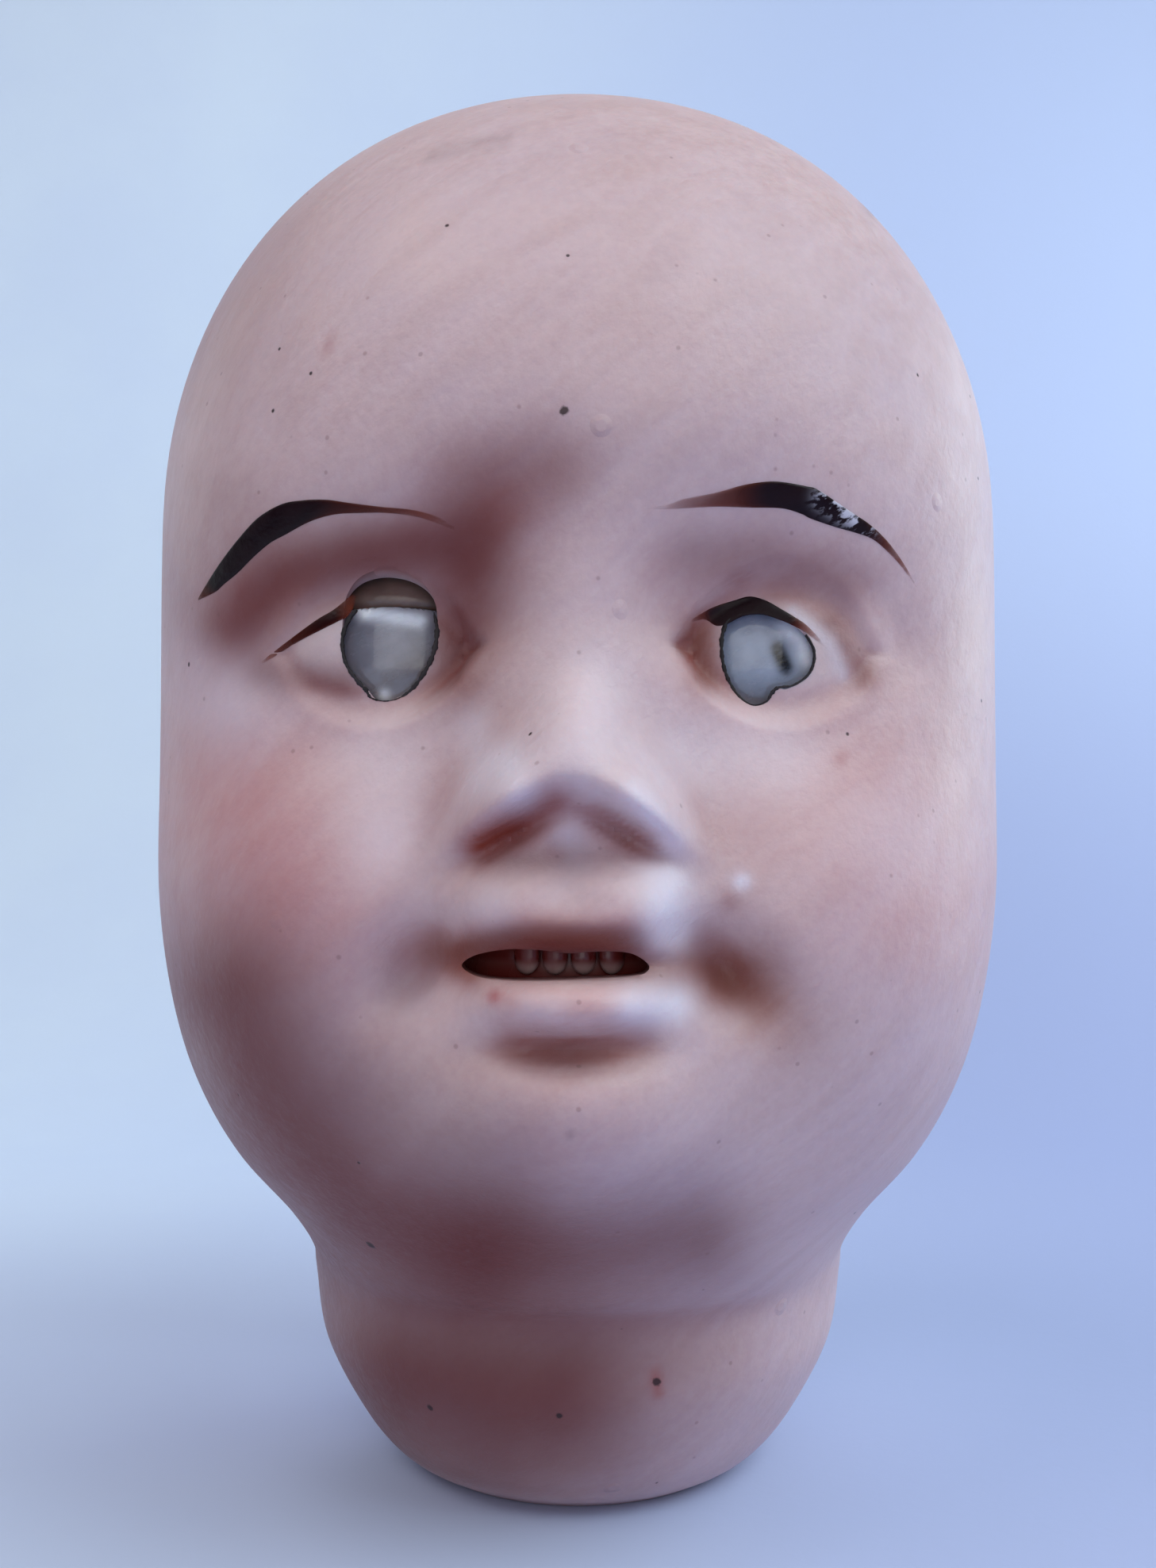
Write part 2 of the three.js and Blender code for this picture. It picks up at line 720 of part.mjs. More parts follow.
// A turned wooden button that seats in the neck's hollow and turns the pull into the bisque
function neckButton() {
  const low = reachAt(buttonBottom, wall).least - seatGap;
  const high = reachAt(buttonTop, wall).least - seatGap;
  const top = reachAt(buttonTop - hookWireRadius, wall).least - seatGap;
  const profile = [
    [0, buttonBottom],
    [low, buttonBottom],
    [(low + top) / 2, (buttonBottom + buttonTop - hookWireRadius) / 2],
    [top, buttonTop - hookWireRadius],
    [high - hookWireRadius, buttonTop],
    [0, buttonTop],
  ];
  return turned(profile).subtract(hookBore(buttonBottom, buttonTop));
}

function hookBore(bottom, top) {
  const length = top - bottom + overrun;
  return rod(hookWireRadius + runningGap, length, "z", 0, 0, (bottom + top) / 2);
}

function washer(bottom) {
  const top = bottom + washerThickness;
  return rod(washerRadius, washerThickness, "z", 0, 0, (bottom + top) / 2)
    .subtract(hookBore(bottom, top));
}

function hookNut() {
  const top = nutBottom + nutHeight;
  const geometry = new THREE.CylinderGeometry(nutRadius, nutRadius, nutHeight, nutSides);
  geometry.rotateX(Math.PI / 2);
  return solid(geometry.translate(0, 0, (nutBottom + top) / 2))
    .subtract(hookBore(nutBottom, top));
}

// A straight shank that turns through half a circle into an open hook
function neckHook() {
  const route = new THREE.CurvePath();
  const turn = new THREE.CatmullRomCurve3([]);
  for (let step = 0; step <= bendSteps; step++) {
    const angle = (step / bendSteps) * Math.PI;
    const x = hookBendRadius * (1 - Math.cos(angle));
    turn.points.push(new THREE.Vector3(x, 0, hookBend - hookBendRadius * Math.sin(angle)));
  }
  const [top, foot] = [new THREE.Vector3(0, 0, hookTop), new THREE.Vector3(0, 0, hookBend)];
  const rise = new THREE.Vector3(2 * hookBendRadius, 0, hookBend);
  const tip = rise.clone().setZ(hookBend + hookTipRise);
  route.add(new THREE.LineCurve3(top, foot));
  route.add(turn);
  route.add(new THREE.LineCurve3(rise, tip));
  const section = new THREE.Shape();
  section.absarc(0, 0, hookWireRadius, 0, 2 * Math.PI);
  const geometry = new THREE.ExtrudeGeometry(section, {
    steps: hookSteps,
    curveSegments: hookSides,
    extrudePath: route,
  });
  return solid(geometry);
}

// Middle line of the spring: even turns that close up over the first and last one
function springPoint(t) {
  const turns = t * springTurns;
  const closed = springWireRadius * closedPitchShare;
  const openTurns = springTurns - 2;
  const pitch = (springLength - 2 * springWireRadius - 2 * closed) / openTurns;
  const first = Math.min(turns, 1) * closed;
  const open = Math.max(Math.min(turns - 1, openTurns), 0) * pitch;
  const last = Math.max(turns - 1 - openTurns, 0) * closed;
  const angle = turns * 2 * Math.PI;
  const z = springBottom + springWireRadius + first + open + last;
  return new THREE.Vector3(springRadius * Math.cos(angle), springRadius * Math.sin(angle), z);
}

function hookSpring() {
  const steps = springTurns * springStepsPerTurn;
  const rings = [];
  for (let step = 0; step <= steps; step++) {
    const at = springPoint(step / steps);
    const outward = new THREE.Vector3(at.x, at.y, 0).normalize();
    const ring = [];
    for (let side = 0; side < springSides; side++) {
      const angle = (side / springSides) * 2 * Math.PI;
      const out = outward.clone().multiplyScalar(springWireRadius * Math.cos(angle));
      out.z -= springWireRadius * Math.sin(angle);
      ring.push(at.clone().add(out));
    }
    rings.push(ring);
  }
  return ringSolid(rings);
}

// Least gap of the spring to itself, between points at least half a turn apart
function springLeastGap() {
  const steps = springTurns * springGapSteps;
  const points = Array.from({ length: steps + 1 }, (_, i) => springPoint(i / steps));
  let least = Infinity;
  for (let i = 0; i <= steps; i++) {
    for (let j = i + springGapSteps / 2; j <= steps; j++) {
      least = Math.min(least, points[i].distanceTo(points[j]));
    }
  }
  return least - 2 * springWireRadius;
}

const bisque = ["#d9bdb8", 0.55, 0];
const glass = ["#b9c2cd", 0.12, 0];
const wax = ["#8a6a60", 0.45, 0];
const plaster = ["#e8e1d3", 0.9, 0];
const iron = ["#5a5450", 0.5, 0.9];
const lead = ["#70737a", 0.55, 0.8];
const cork = ["#b98a5a", 0.9, 0];
const beech = ["#c49a66", 0.6, 0];
const enamel = ["#efe9df", 0.25, 0];

const group = new THREE.Group();

function add(name, shape, [color, roughness, metalness]) {
  const material = new THREE.MeshStandardMaterial({ color, roughness, metalness });
  const mesh = new THREE.Mesh(geometryOf(shape), material);
  mesh.name = name;
  group.add(mesh);
}

add("head_shell", headShell(), bisque);
add("upper_teeth", upperTeeth(), enamel);
for (const [prefix, side, lidEdge] of [["right", -1, rightLidEdge], ["left", 1, leftLidEdge]]) {
  add(prefix + "_eyeball", glassEye(side, lidEdge), glass);
  add(prefix + "_wax_lid", waxLid(side, lidEdge), wax);
  add(prefix + "_eye_plaster", eyePlaster(side), plaster);
  add(prefix + "_socket_pad", socketPad(side), plaster);
}
add("rocker_wire", rockerWire(), iron);
add("lead_weight", leadWeight(), lead);
add("chin_cork", chinCork(), cork);
add("crown_pate", crownPate(), cork);
add("neck_button", neckButton(), beech);
add("thrust_washer", washer(washerBottom), iron);
add("hook_spring", hookSpring(), iron);
add("spring_cap", washer(capBottom), iron);
add("hook_nut", hookNut(), iron);
add("neck_hook", neckHook(), iron);

const bounds = new THREE.Box3().setFromObject(group);
const middle = bounds.getCenter(new THREE.Vector3());
group.position.set(-middle.x, -middle.y, -bounds.min.z);
console.log("moved back by", -middle.y, "mm; least spring gap", springLeastGap(), "mm");

export default group;
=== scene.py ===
"""Looks of a bisque doll head: its moulded face, painted brows, glass eyes and cork pate.

Every shape is worked out in millimetres from the neck's axis and rim, with x to the doll's left,
the face along -y and z up, and is put into the part's own frame in metres when it is finished.
"""
import math

import bpy
import numpy as np
from mathutils import Matrix, Vector


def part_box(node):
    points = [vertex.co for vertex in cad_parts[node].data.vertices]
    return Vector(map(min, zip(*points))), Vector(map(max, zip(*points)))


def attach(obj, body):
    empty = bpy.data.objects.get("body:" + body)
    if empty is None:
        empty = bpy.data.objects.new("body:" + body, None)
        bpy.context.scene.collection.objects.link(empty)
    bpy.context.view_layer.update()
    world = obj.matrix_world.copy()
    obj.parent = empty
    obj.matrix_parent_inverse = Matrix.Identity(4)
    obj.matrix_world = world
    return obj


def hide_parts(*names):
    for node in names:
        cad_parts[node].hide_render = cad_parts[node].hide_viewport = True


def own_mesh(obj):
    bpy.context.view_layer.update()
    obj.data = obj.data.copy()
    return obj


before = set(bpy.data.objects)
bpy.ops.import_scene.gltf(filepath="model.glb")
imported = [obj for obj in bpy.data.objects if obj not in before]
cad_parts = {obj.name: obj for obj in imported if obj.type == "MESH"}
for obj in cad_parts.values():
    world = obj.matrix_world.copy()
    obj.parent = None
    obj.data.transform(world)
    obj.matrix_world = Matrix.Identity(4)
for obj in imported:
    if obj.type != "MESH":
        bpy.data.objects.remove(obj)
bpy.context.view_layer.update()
AXIS_Y = sum(corner[1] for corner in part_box("thrust_washer")) / 2
MM_IN_METRE = 1000
TO_FRAME = Matrix.Translation((0, AXIS_Y, 0)) @ Matrix.Scale(1 / MM_IN_METRE, 4)
SIDES = {"right": -1, "left": 1}

# Sizes of the casting
HEAD_WIDTH, HEAD_HEIGHT = 49.0, 80.8
FACE_DEPTH, BACK_DEPTH = 29.0, 23.5
NECK_HEIGHT, NECK_RADIUS, NECK_HOLE, NECK_FLOOR = 11.4, 16.3, 7.5, 2.6
WALL, HOLLOW_WALL, SEAT_GAP = 3.0, 1.6, 0.3
DOME_HEIGHT, DOME_FORWARD, DOME_LEAD = 55.5, 4.7, math.radians(8)
CROWN_TILT, CROWN_SHARE = math.radians(32), 0.71
PATE_WALL, SKIRT_WALL, SKIRT_DROP = 3.4, 2.2, 3.0
PATE_SETTLE, CROWN_EDGE = 0.64, 73.0
HALF_WIDTH = HEAD_WIDTH / 2
FACE_SPAN = DOME_HEIGHT - NECK_HEIGHT
DOME_RISE = HEAD_HEIGHT - DOME_HEIGHT

# Sizes of the eyes
EYE_X, EYE_HEIGHT = 18.1 / 2, 45.5
EYEBALL, EYE_GAP, RIM_WALL, LID_RIM = 6.9, 0.3, 0.4, 0.12
GLASS_WALL, LID_WAX, GLASS_BACK, PAD_INSET, CAP_BACK = 0.85, 0.4, 4.2, 2.6, 3.5
POCKET = EYEBALL + EYE_GAP
SCLERA = POCKET + RIM_WALL
EYE_FRONT_SHARE = 0.862
EYE_Y = SCLERA - EYE_FRONT_SHARE * FACE_DEPTH
LID_TOP = math.radians(122)
LID_EDGES = {"right": math.radians(19), "left": math.radians(24)}

# Sections of the neck from the rim up: height, radius and stretches of rows to the next one
NECK_SHARES = np.array([[0, 0.594, 1], [0.105, 0.711, 2], [0.307, 0.827, 2], [0.658, 0.956, 2]])
# Sections of the face: height, half width, front and back depth, how far the middle lies
# forward, the power that squares the section, and stretches of rows to the next one
FACE_SHARES = np.array([
    [0, 0.664, 0.552, 0.69, 0, 1, 1],
    [0.045, 0.667, 0.625, 0.694, 0.15, 0.98, 1],
    [0.104, 0.717, 0.71, 0.711, 0.35, 0.96, 2],
    [0.184, 0.823, 0.795, 0.745, 0.6, 0.93, 3],
    [0.274, 0.897, 0.855, 0.791, 0.8, 0.9, 4],
    [0.376, 0.948, 0.882, 0.847, 0.9, 0.88, 6],
    [0.512, 0.984, 0.893, 0.911, 1, 0.87, 7],
    [0.671, 0.996, 0.908, 0.966, 1, 0.87, 7],
    [0.83, 1, 0.955, 0.996, 1, 0.88, 4],
    [0.921, 1, 0.99, 1, 1, 0.89, 2],
])
DOME_ROUND, DOME_SIDE = 0.9, 0.845
FACE_LEAN = -0.4

# Soft forms of the face: side, height up the face, width, height, stand, how square the fall is,
# the height below in that above, and how steeply the form slants down away from the middle
FACE_FORMS = [
    (0, 1.07, 0.62, 0.34, 0.022, 2, 1, 0),  # forehead
    (0, 0.77, 0.2, 0.22, 0.055, 2, 1, 0),  # bridge
    (0, 0.617, 0.175, 0.16, 0.175, 2.6, 0.5, 0.5),  # nose
    (0.14, 0.58, 0.075, 0.085, 0.045, 2.4, 0.7, 0.3),  # wings of the nose
    (0.085, 0.566, 0.085, 0.032, -0.1, 2, 1, 0.55),  # nostrils
    (0, 0.46, 0.34, 0.28, 0.11, 2.2, 1, 0),  # muzzle
    (0, 0.495, 0.19, 0.085, 0.075, 3.6, 0.8, 0),  # pad of the upper lip
    (0.09, 0.46, 0.09, 0.04, 0.015, 2, 0.6, 0),  # edge of the upper lip
    (0, 0.52, 0.04, 0.05, -0.018, 2, 1, 0),  # groove under the nose
    (0, 0.437, 0.17, 0.024, -0.035, 3, 1, 0),  # parting of the lips
    (0.02, 0.4, 0.135, 0.05, 0.044, 3, 1, 0),  # lower lip
    (0, 0.352, 0.14, 0.035, -0.055, 2, 1, 0),  # groove under the lip
    (0, 0.27, 0.26, 0.17, 0.155, 2.3, 1.1, 0),  # chin
    (0.285, 0.425, 0.095, 0.09, -0.115, 2, 1, 0.35),  # corners of the mouth
    (0.57, 0.45, 0.34, 0.38, 0.125, 2, 1, 0),  # cheeks
    (0.27, 0.55, 0.08, 0.15, -0.03, 2, 1, 0.3),  # folds beside the nose
    (0.34, 0.8, 0.25, 0.17, -0.07, 2, 0.6, 0),  # eye sockets
    (0.2, 0.8, 0.12, 0.14, -0.04, 2, 0.8, 0),  # inner corners
    (0.58, 0.78, 0.14, 0.12, -0.03, 2, 0.8, 0),  # outer corners
    (0.13, 0.91, 0.16, 0.11, -0.016, 2, 1, 0),  # between the brows
    (0.37, 0.69, 0.24, 0.13, -0.035, 2, 1, 0),  # under the eyes
]
SLANT_START = 0.04
ALMOND_OUT, ALMOND_WIDTH, ALMOND_HEIGHT, ALMOND_ROUND = 0.087, 0.62, 0.34, 0.8
LID_EDGE_WIDTH, LID_BLEND = 0.27, 0.25
FRONT_DENSITY = 0.58

# The photograph's camera: place from the neck's axis, tilt up, focal length and middle in pixels
EYE_POINT = np.array([0, -88.2, 33.4])
TILT_UP = math.radians(5)
FOCAL, PHOTO_WIDTH, PHOTO_HEIGHT = 1709, 1457, 1977


def smooth(low, high, value):
    """Nothing up to low, all from high on, and an even swing between them."""
    t = np.clip((value - low) / (high - low), 0, 1)
    return t * t * (3 - 2 * t)


def soft_max(a, b, blend):
    """The larger of two heights, with the corner between them rounded over the blend."""
    h = np.maximum(blend - np.abs(a - b), 0) / blend
    return np.maximum(a, b) + h * h * blend / 4


def circle(count):
    """Even steps round a full turn."""
    return np.arange(count) / count * 2 * np.pi


def points_at(x, y, z):
    """Points from their three coordinates, spread to one shape."""
    return np.stack(np.broadcast_arrays(x, y, z), axis=-1)


# Curves through points are followed to just before the last one
LAST_BEFORE = 1.001


def cubic(points, t, closed=False):
    """A curve through every point: t counts the points, and the slope at each one is that of
    the line between its neighbours."""
    ends = (points[-1:], points[:2]) if closed else (
        2 * points[:1] - points[1:2], 2 * points[-1:] - points[-2:-1])
    padded = np.vstack([ends[0], points, ends[1]])
    i = np.minimum(t.astype(int), len(points) - (1 if closed else 2))
    w = (t - i)[:, None]
    p0, p1, p2, p3 = padded[i], padded[i + 1], padded[i + 2], padded[i + 3]
    return p1 + w * (p2 - p0) / 2 + w**2 * (2 * p0 - 5 * p1 + 4 * p2 - p3) / 2 \
        + w**3 * (3 * p1 - p0 - 3 * p2 + p3) / 2


def dome_sections(angle, inset):
    """Sections of the skull's top: heights follow the sine, reaches a power of the cosine."""
    c, s = np.maximum(np.cos(angle), 0), np.sin(angle)
    return np.stack([
        DOME_HEIGHT + (DOME_RISE - inset) * s,
        (HALF_WIDTH - inset) * c**DOME_SIDE,
        DOME_FORWARD + (FACE_DEPTH - DOME_FORWARD - inset) * c**DOME_ROUND,
        (BACK_DEPTH + DOME_FORWARD - inset) * c**DOME_SIDE - DOME_FORWARD,
        np.full_like(s, DOME_FORWARD),
        DOME_ROUND + (1 - DOME_ROUND) * s,
    ], axis=-1)


def head_rows(inset, per_stretch, dome_rows):
    """Every section of the head: a cubic through the measured ones, then the dome's arc."""
    neck = [[h * NECK_HEIGHT, *[r * NECK_RADIUS - inset] * 3, 0, 1] for h, r, _ in NECK_SHARES]
    face = [[NECK_HEIGHT + h * FACE_SPAN, w * HALF_WIDTH - inset, f * FACE_DEPTH - inset,
             b * BACK_DEPTH - inset, c * DOME_FORWARD, e] for h, w, f, b, c, e, _ in FACE_SHARES]
    leads = dome_sections(np.array([0, DOME_LEAD]), inset)
    stations = np.vstack([neck, face, leads])
    counts = np.append(NECK_SHARES[:, -1], FACE_SHARES[:, -1]) * per_stretch
    counts = np.maximum(1, np.round(counts)).astype(int)
    t = np.concatenate([i + np.arange(n) / n for i, n in enumerate(counts)])
    dome = dome_sections(np.arange(dome_rows) / dome_rows * np.pi / 2, inset)
    return np.vstack([cubic(stations, t), dome])


def face_relief(x, z):
    """Sum of soft bells over the face, each falling with the distance from its own middle."""
    x = x - FACE_LEAN * (1 - smooth(EYE_HEIGHT - EYEBALL, EYE_HEIGHT, z))
    outward = np.hypot(x / HALF_WIDTH, SLANT_START) - SLANT_START
    out = np.zeros_like(x)
    for side, height, width, tall, stand, edge, under, slant in FACE_FORMS:
        up = (z - NECK_HEIGHT - height * FACE_SPAN) / HALF_WIDTH + slant * (outward - side)
        up = np.where(up < 0, up / under, up) / tall
        for twin in {side, -side}:
            across = (x / HALF_WIDTH - twin) / width
            out = out + stand * HALF_WIDTH * np.exp(-np.hypot(across, up) ** edge)
    return out


def eye_surface(forward, x, z):
    """Lids that swell over the ball, with the almond between them cut back to the sclera."""
    dx, dz = np.abs(x) - EYE_X, z - EYE_HEIGHT
    reach = dx * dx + dz * dz
    lid = np.sqrt(np.maximum((SCLERA + LID_RIM) ** 2 - reach, 0)) - EYE_Y
    sclera = np.sqrt(np.maximum(SCLERA**2 - reach, 0)) - EYE_Y
    lidded = soft_max(forward, lid, LID_BLEND * EYEBALL)
    q = (dx - ALMOND_OUT * EYEBALL) / (ALMOND_WIDTH * EYEBALL)
    arch = np.sign(1 - q * q) * np.abs(1 - q * q) ** ALMOND_ROUND
    inside = smooth(-LID_EDGE_WIDTH, 0, ALMOND_HEIGHT * arch - np.abs(dz) / EYEBALL)
    near = reach < (EYEBALL + LID_RIM) ** 2
    return np.where(near, lidded + (sclera - lidded) * inside, forward)


def head_surface(rows, columns, sculpted):
    """Rings of the head: each section is a superellipse with its columns drawn to the face,
    and the face's relief pushes the front out or in."""
    even = circle(columns)
    angle = even - FRONT_DENSITY * np.sin(even)
    z, a, f, b, c, e = (rows[:, i, None] for i in range(6))
    s, cs = np.sin(angle)[None], np.cos(angle)[None]
    x = a * np.sign(s) * np.abs(s) ** e
    depth = np.where(cs > 0, f - c, -(b + c))
    y = -c - depth * np.abs(cs) ** e
    z = z + np.zeros_like(x)
    facing = smooth(0, 0.3, cs) + np.zeros_like(x)
    if sculpted:
        forward = -y + face_relief(x, z) * facing
        y = np.where(facing > 0, -eye_surface(forward, x, z), y)
    else:
        y = y - np.minimum(face_relief(x, z) + WALL - HOLLOW_WALL, 0) * facing
    return np.stack([x, y, z], axis=-1)


FACE_ROWS = head_rows(0, 12, 90)


def face_front(x, z):
    """How far forward the finished face lies at a place: the section there, plus its relief."""
    a, f, _, c, e = (np.interp(z, FACE_ROWS[:, 0], FACE_ROWS[:, i]) for i in range(1, 6))
    s = np.clip(np.abs(x) / a, 0, 0.9999) ** (1 / e)
    cs = np.sqrt(1 - s * s)
    forward = c + (f - c) * cs**e + face_relief(x, z) * smooth(0, 0.3, cs)
    return eye_surface(forward, x, z)


def on_face(x, z, out=0.0):
    """Points of the face at x and z, moved out along the surface's own slope."""
    step = 0.05
    slope_x = (face_front(x + step, z) - face_front(x - step, z)) / (2 * step)
    slope_z = (face_front(x, z + step) - face_front(x, z - step)) / (2 * step)
    normal = np.stack([-slope_x, -np.ones_like(slope_x), -slope_z], axis=-1)
    normal /= np.linalg.norm(normal, axis=-1, keepdims=True)
    place = np.stack([x, -face_front(x, z), z], axis=-1)
    return place + normal * np.asarray(out)[..., None]


def seen_at(pixels):
    """The x and z at which lines of sight through the photograph's pixels meet the face:
    each line is followed to the face's depth, and the depth there is taken again."""
    pixels = np.asarray(pixels, float)
    right = (pixels[..., 0] - PHOTO_WIDTH / 2) / FOCAL
    up = (PHOTO_HEIGHT / 2 - pixels[..., 1]) / FOCAL
    ahead = math.cos(TILT_UP) - up * math.sin(TILT_UP)
    rise = math.sin(TILT_UP) + up * math.cos(TILT_UP)
    first_depth, rounds, share = 0.9, 40, 0.6
    y = np.full_like(right, -FACE_DEPTH * first_depth)
    for _ in range(rounds):
        t = (y - EYE_POINT[1]) / ahead
        x, z = EYE_POINT[0] + t * right, EYE_POINT[2] + t * rise
        y = y + share * (-face_front(x, z) - y)
    return x, z


# Making meshes

def new_object(name, points, faces):
    """An object in the scene from points and the faces that join them."""
    mesh = bpy.data.meshes.new(name)
    mesh.from_pydata(points.tolist(), [], faces)
    mesh.shade_smooth()
    piece = bpy.data.objects.new(name, mesh)
    bpy.context.collection.objects.link(piece)
    return piece


def mesh_object(name, points, faces):
    """A closed piece from points in millimetres, its faces turned outwards by the sign of the
    volume that they close."""
    faces = [np.asarray(f) for f in faces]
    volume = 0.0
    for f in faces:
        for k in range(1, f.shape[1] - 1):
            p, q, r = points[f[:, 0]], points[f[:, k]], points[f[:, k + 1]]
            volume += np.einsum("ij,ij->", p, np.cross(q, r))
    if volume < 0:
        faces = [f[:, ::-1] for f in faces]
    return new_object(name, points, [face for f in faces for face in f.tolist()])


def rings_object(name, rings, looped=False):
    """A closed surface through rings of points. Its ends are closed with a fan to their middle,
    or the last ring joins the first."""
    n, m = rings.shape[:2]
    points = rings.reshape(-1, 3)
    last = n if looped else n - 1
    i, j = (v.ravel() for v in np.meshgrid(np.arange(last), np.arange(m), indexing="ij"))
    k, above = (j + 1) % m, (i + 1) % n
    faces = [np.stack([i * m + j, i * m + k, above * m + k, above * m + j], -1)]
    if not looped:
        column = np.arange(m)
        after = (column + 1) % m
        top = (n - 1) * m
        middles = np.stack([rings[0].mean(0), rings[-1].mean(0)])
        faces.append(np.stack([after, column, np.full(m, len(points))], -1))
        faces.append(np.stack([top + column, top + after, np.full(m, len(points) + 1)], -1))
        points = np.vstack([points, middles])
    return mesh_object(name, points, faces)


def turned_object(name, profile, sides):
    """A profile of radius and height pairs, closed on itself, carried round an upright axis."""
    angle = circle(sides)
    r, z = profile.T[:, :, None]
    rings = points_at(r * np.cos(angle), r * np.sin(angle), z)
    return rings_object(name, rings, looped=True)


def tube_object(name, path, radius, sides, across=(0, 1, 0)):
    """A round bar along a path: rings of its radius stand square to the path, turned so that
    one side always faces across."""
    along = np.gradient(path, axis=0)
    along /= np.linalg.norm(along, axis=1, keepdims=True)
    side = np.cross(along, np.broadcast_to(np.asarray(across, float), along.shape))
    side /= np.linalg.norm(side, axis=1, keepdims=True)
    other = np.cross(side, along)
    radius = np.broadcast_to(radius, (len(path), sides))[..., None]
    c, s = np.cos(circle(sides))[:, None], np.sin(circle(sides))[:, None]
    return rings_object(name, path[:, None] + radius * (c * side[:, None] + s * other[:, None]))


def ball_object(name, radius, centre, rows=64, columns=96):
    """A ball: rings from pole to pole, the poles closed."""
    polar = (np.arange(rows) + 0.5) / rows * np.pi
    s, c = np.sin(polar)[:, None], np.cos(polar)[:, None]
    around = circle(columns)
    unit = points_at(s * np.cos(around), s * np.sin(around), -c)
    return rings_object(name, np.asarray(centre) + radius * unit)


def box_object(name, low, high):
    """A box between two corners."""
    square = np.array([[0, 0], [1, 0], [1, 1], [0, 1]])
    corners = np.stack([np.column_stack([square, np.full(4, k)]) for k in (0, 1)])
    low, high = np.asarray(low, float), np.asarray(high, float)
    return rings_object(name, low + corners * (high - low))


def carved(body, *steps):
    """The body joined with, cut by or kept inside its tools, which are then thrown away."""
    for operation, tool in steps:
        cut = body.modifiers.new("carve", "BOOLEAN")
        cut.operation, cut.object, cut.solver = operation, tool, "MANIFOLD"
    graph = bpy.context.evaluated_depsgraph_get()
    mesh = bpy.data.meshes.new_from_object(body.evaluated_get(graph))
    body.modifiers.clear()
    body.data = mesh
    for _, tool in steps:
        bpy.data.objects.remove(tool)
    return body


def finished(piece, material, body, *replaced, sharp=35):
    """Puts a piece into the part's frame, with its finish, its sharp edges and its body."""
    mesh = piece.data
    mesh.transform(TO_FRAME)
    mesh.materials.clear()
    mesh.materials.append(material)
    mesh.shade_smooth()
    mesh.set_sharp_from_angle(angle=math.radians(sharp))
    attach(piece, body)
    if replaced:
        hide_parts(*replaced)


# The head's forms

# Meshes of the head: columns, rows to a stretch and rows over the dome
FINE, SMOOTH, PLAIN = (300, 5, 40), (160, 2, 40), (110, 2, 14)


def head_form(name, inset, mesh=PLAIN, sculpted=False, floor=None):
    """The head as a closed surface that lies an inset inside the outer one, from a floor up."""
    columns, per_stretch, dome_rows = mesh
    rows = head_rows(inset, per_stretch, dome_rows)
    if floor is not None:
        first = [np.interp(floor, rows[:, 0], rows[:, i]) for i in range(6)]
        least_gap = 0.05
        rows = np.vstack([first, rows[rows[:, 0] > floor + least_gap]])
    return rings_object(name, head_surface(rows, columns, sculpted))


def above_crown(name, raised):
    """Everything above the slanted crown plane, raised by a distance."""
    size = 2 * HEAD_HEIGHT
    box = box_object(name, (-size, -size, CROWN_SHARE * DOME_RISE + raised), (size, size, size))
    box.data.transform(Matrix.Translation((0, -DOME_FORWARD, DOME_HEIGHT))
                       @ Matrix.Rotation(-CROWN_TILT, 4, "X"))
    return box


def ear_object(name, side):
    """A closed ear against the side of the head: an egg of rings that rise from the root over
    the rim and fall into the hollow."""
    half_width, half_height, lean = 4.1, 6.9, math.radians(12)
    back_share, height_share, sunk, fuller_above, flare = 0.16, 0.68, 0.12, 0.2, 0.45
    middle_y, middle_z = back_share * HALF_WIDTH, NECK_HEIGHT + height_share * FACE_SPAN
    root = np.interp(middle_z, FACE_ROWS[:, 0], FACE_ROWS[:, 1]) - sunk * half_width
    shares = np.array([[0.86, -0.5], [0.98, 0.2], [1, 0.48], [0.93, 0.62], [0.8, 0.6],
                       [0.66, 0.32], [0.46, 0.2], [0.24, 0.18]])
    size, rise = cubic(shares, np.linspace(0, len(shares) - LAST_BEFORE, 30)).T[:, :, None]
    angle = side * circle(72)
    up = np.sin(angle)
    back = np.cos(angle) * (1 + fuller_above * up)
    p, q = back * size * half_width, up * size * half_height
    stand = rise * half_width * (1 + flare * back * size)
    return rings_object(name, points_at(
        side * (root + stand), middle_y + p * math.cos(lean) + q * math.sin(lean),
        middle_z - p * math.sin(lean) + q * math.cos(lean)))


def prism_through_face(name, outline):
    """A cutter along y with a closed outline of x and z, from before the face into the hollow."""
    before, within = -36.0, -12.0
    return rings_object(name, points_at(outline[:, 0], np.array([[before], [within]]),
                                        outline[:, 1]))


def pairs(numbers):
    """Rows of x and y from numbers that give them in turn."""
    return np.reshape(numbers, (-1, 2)).astype(float)


def traced(numbers, count):
    """A smooth closed outline on the face through pixels of the photograph."""
    pixels = pairs(numbers)
    t = np.arange(count) / count * len(pixels)
    return np.column_stack(seen_at(cubic(pixels, t, closed=True)))


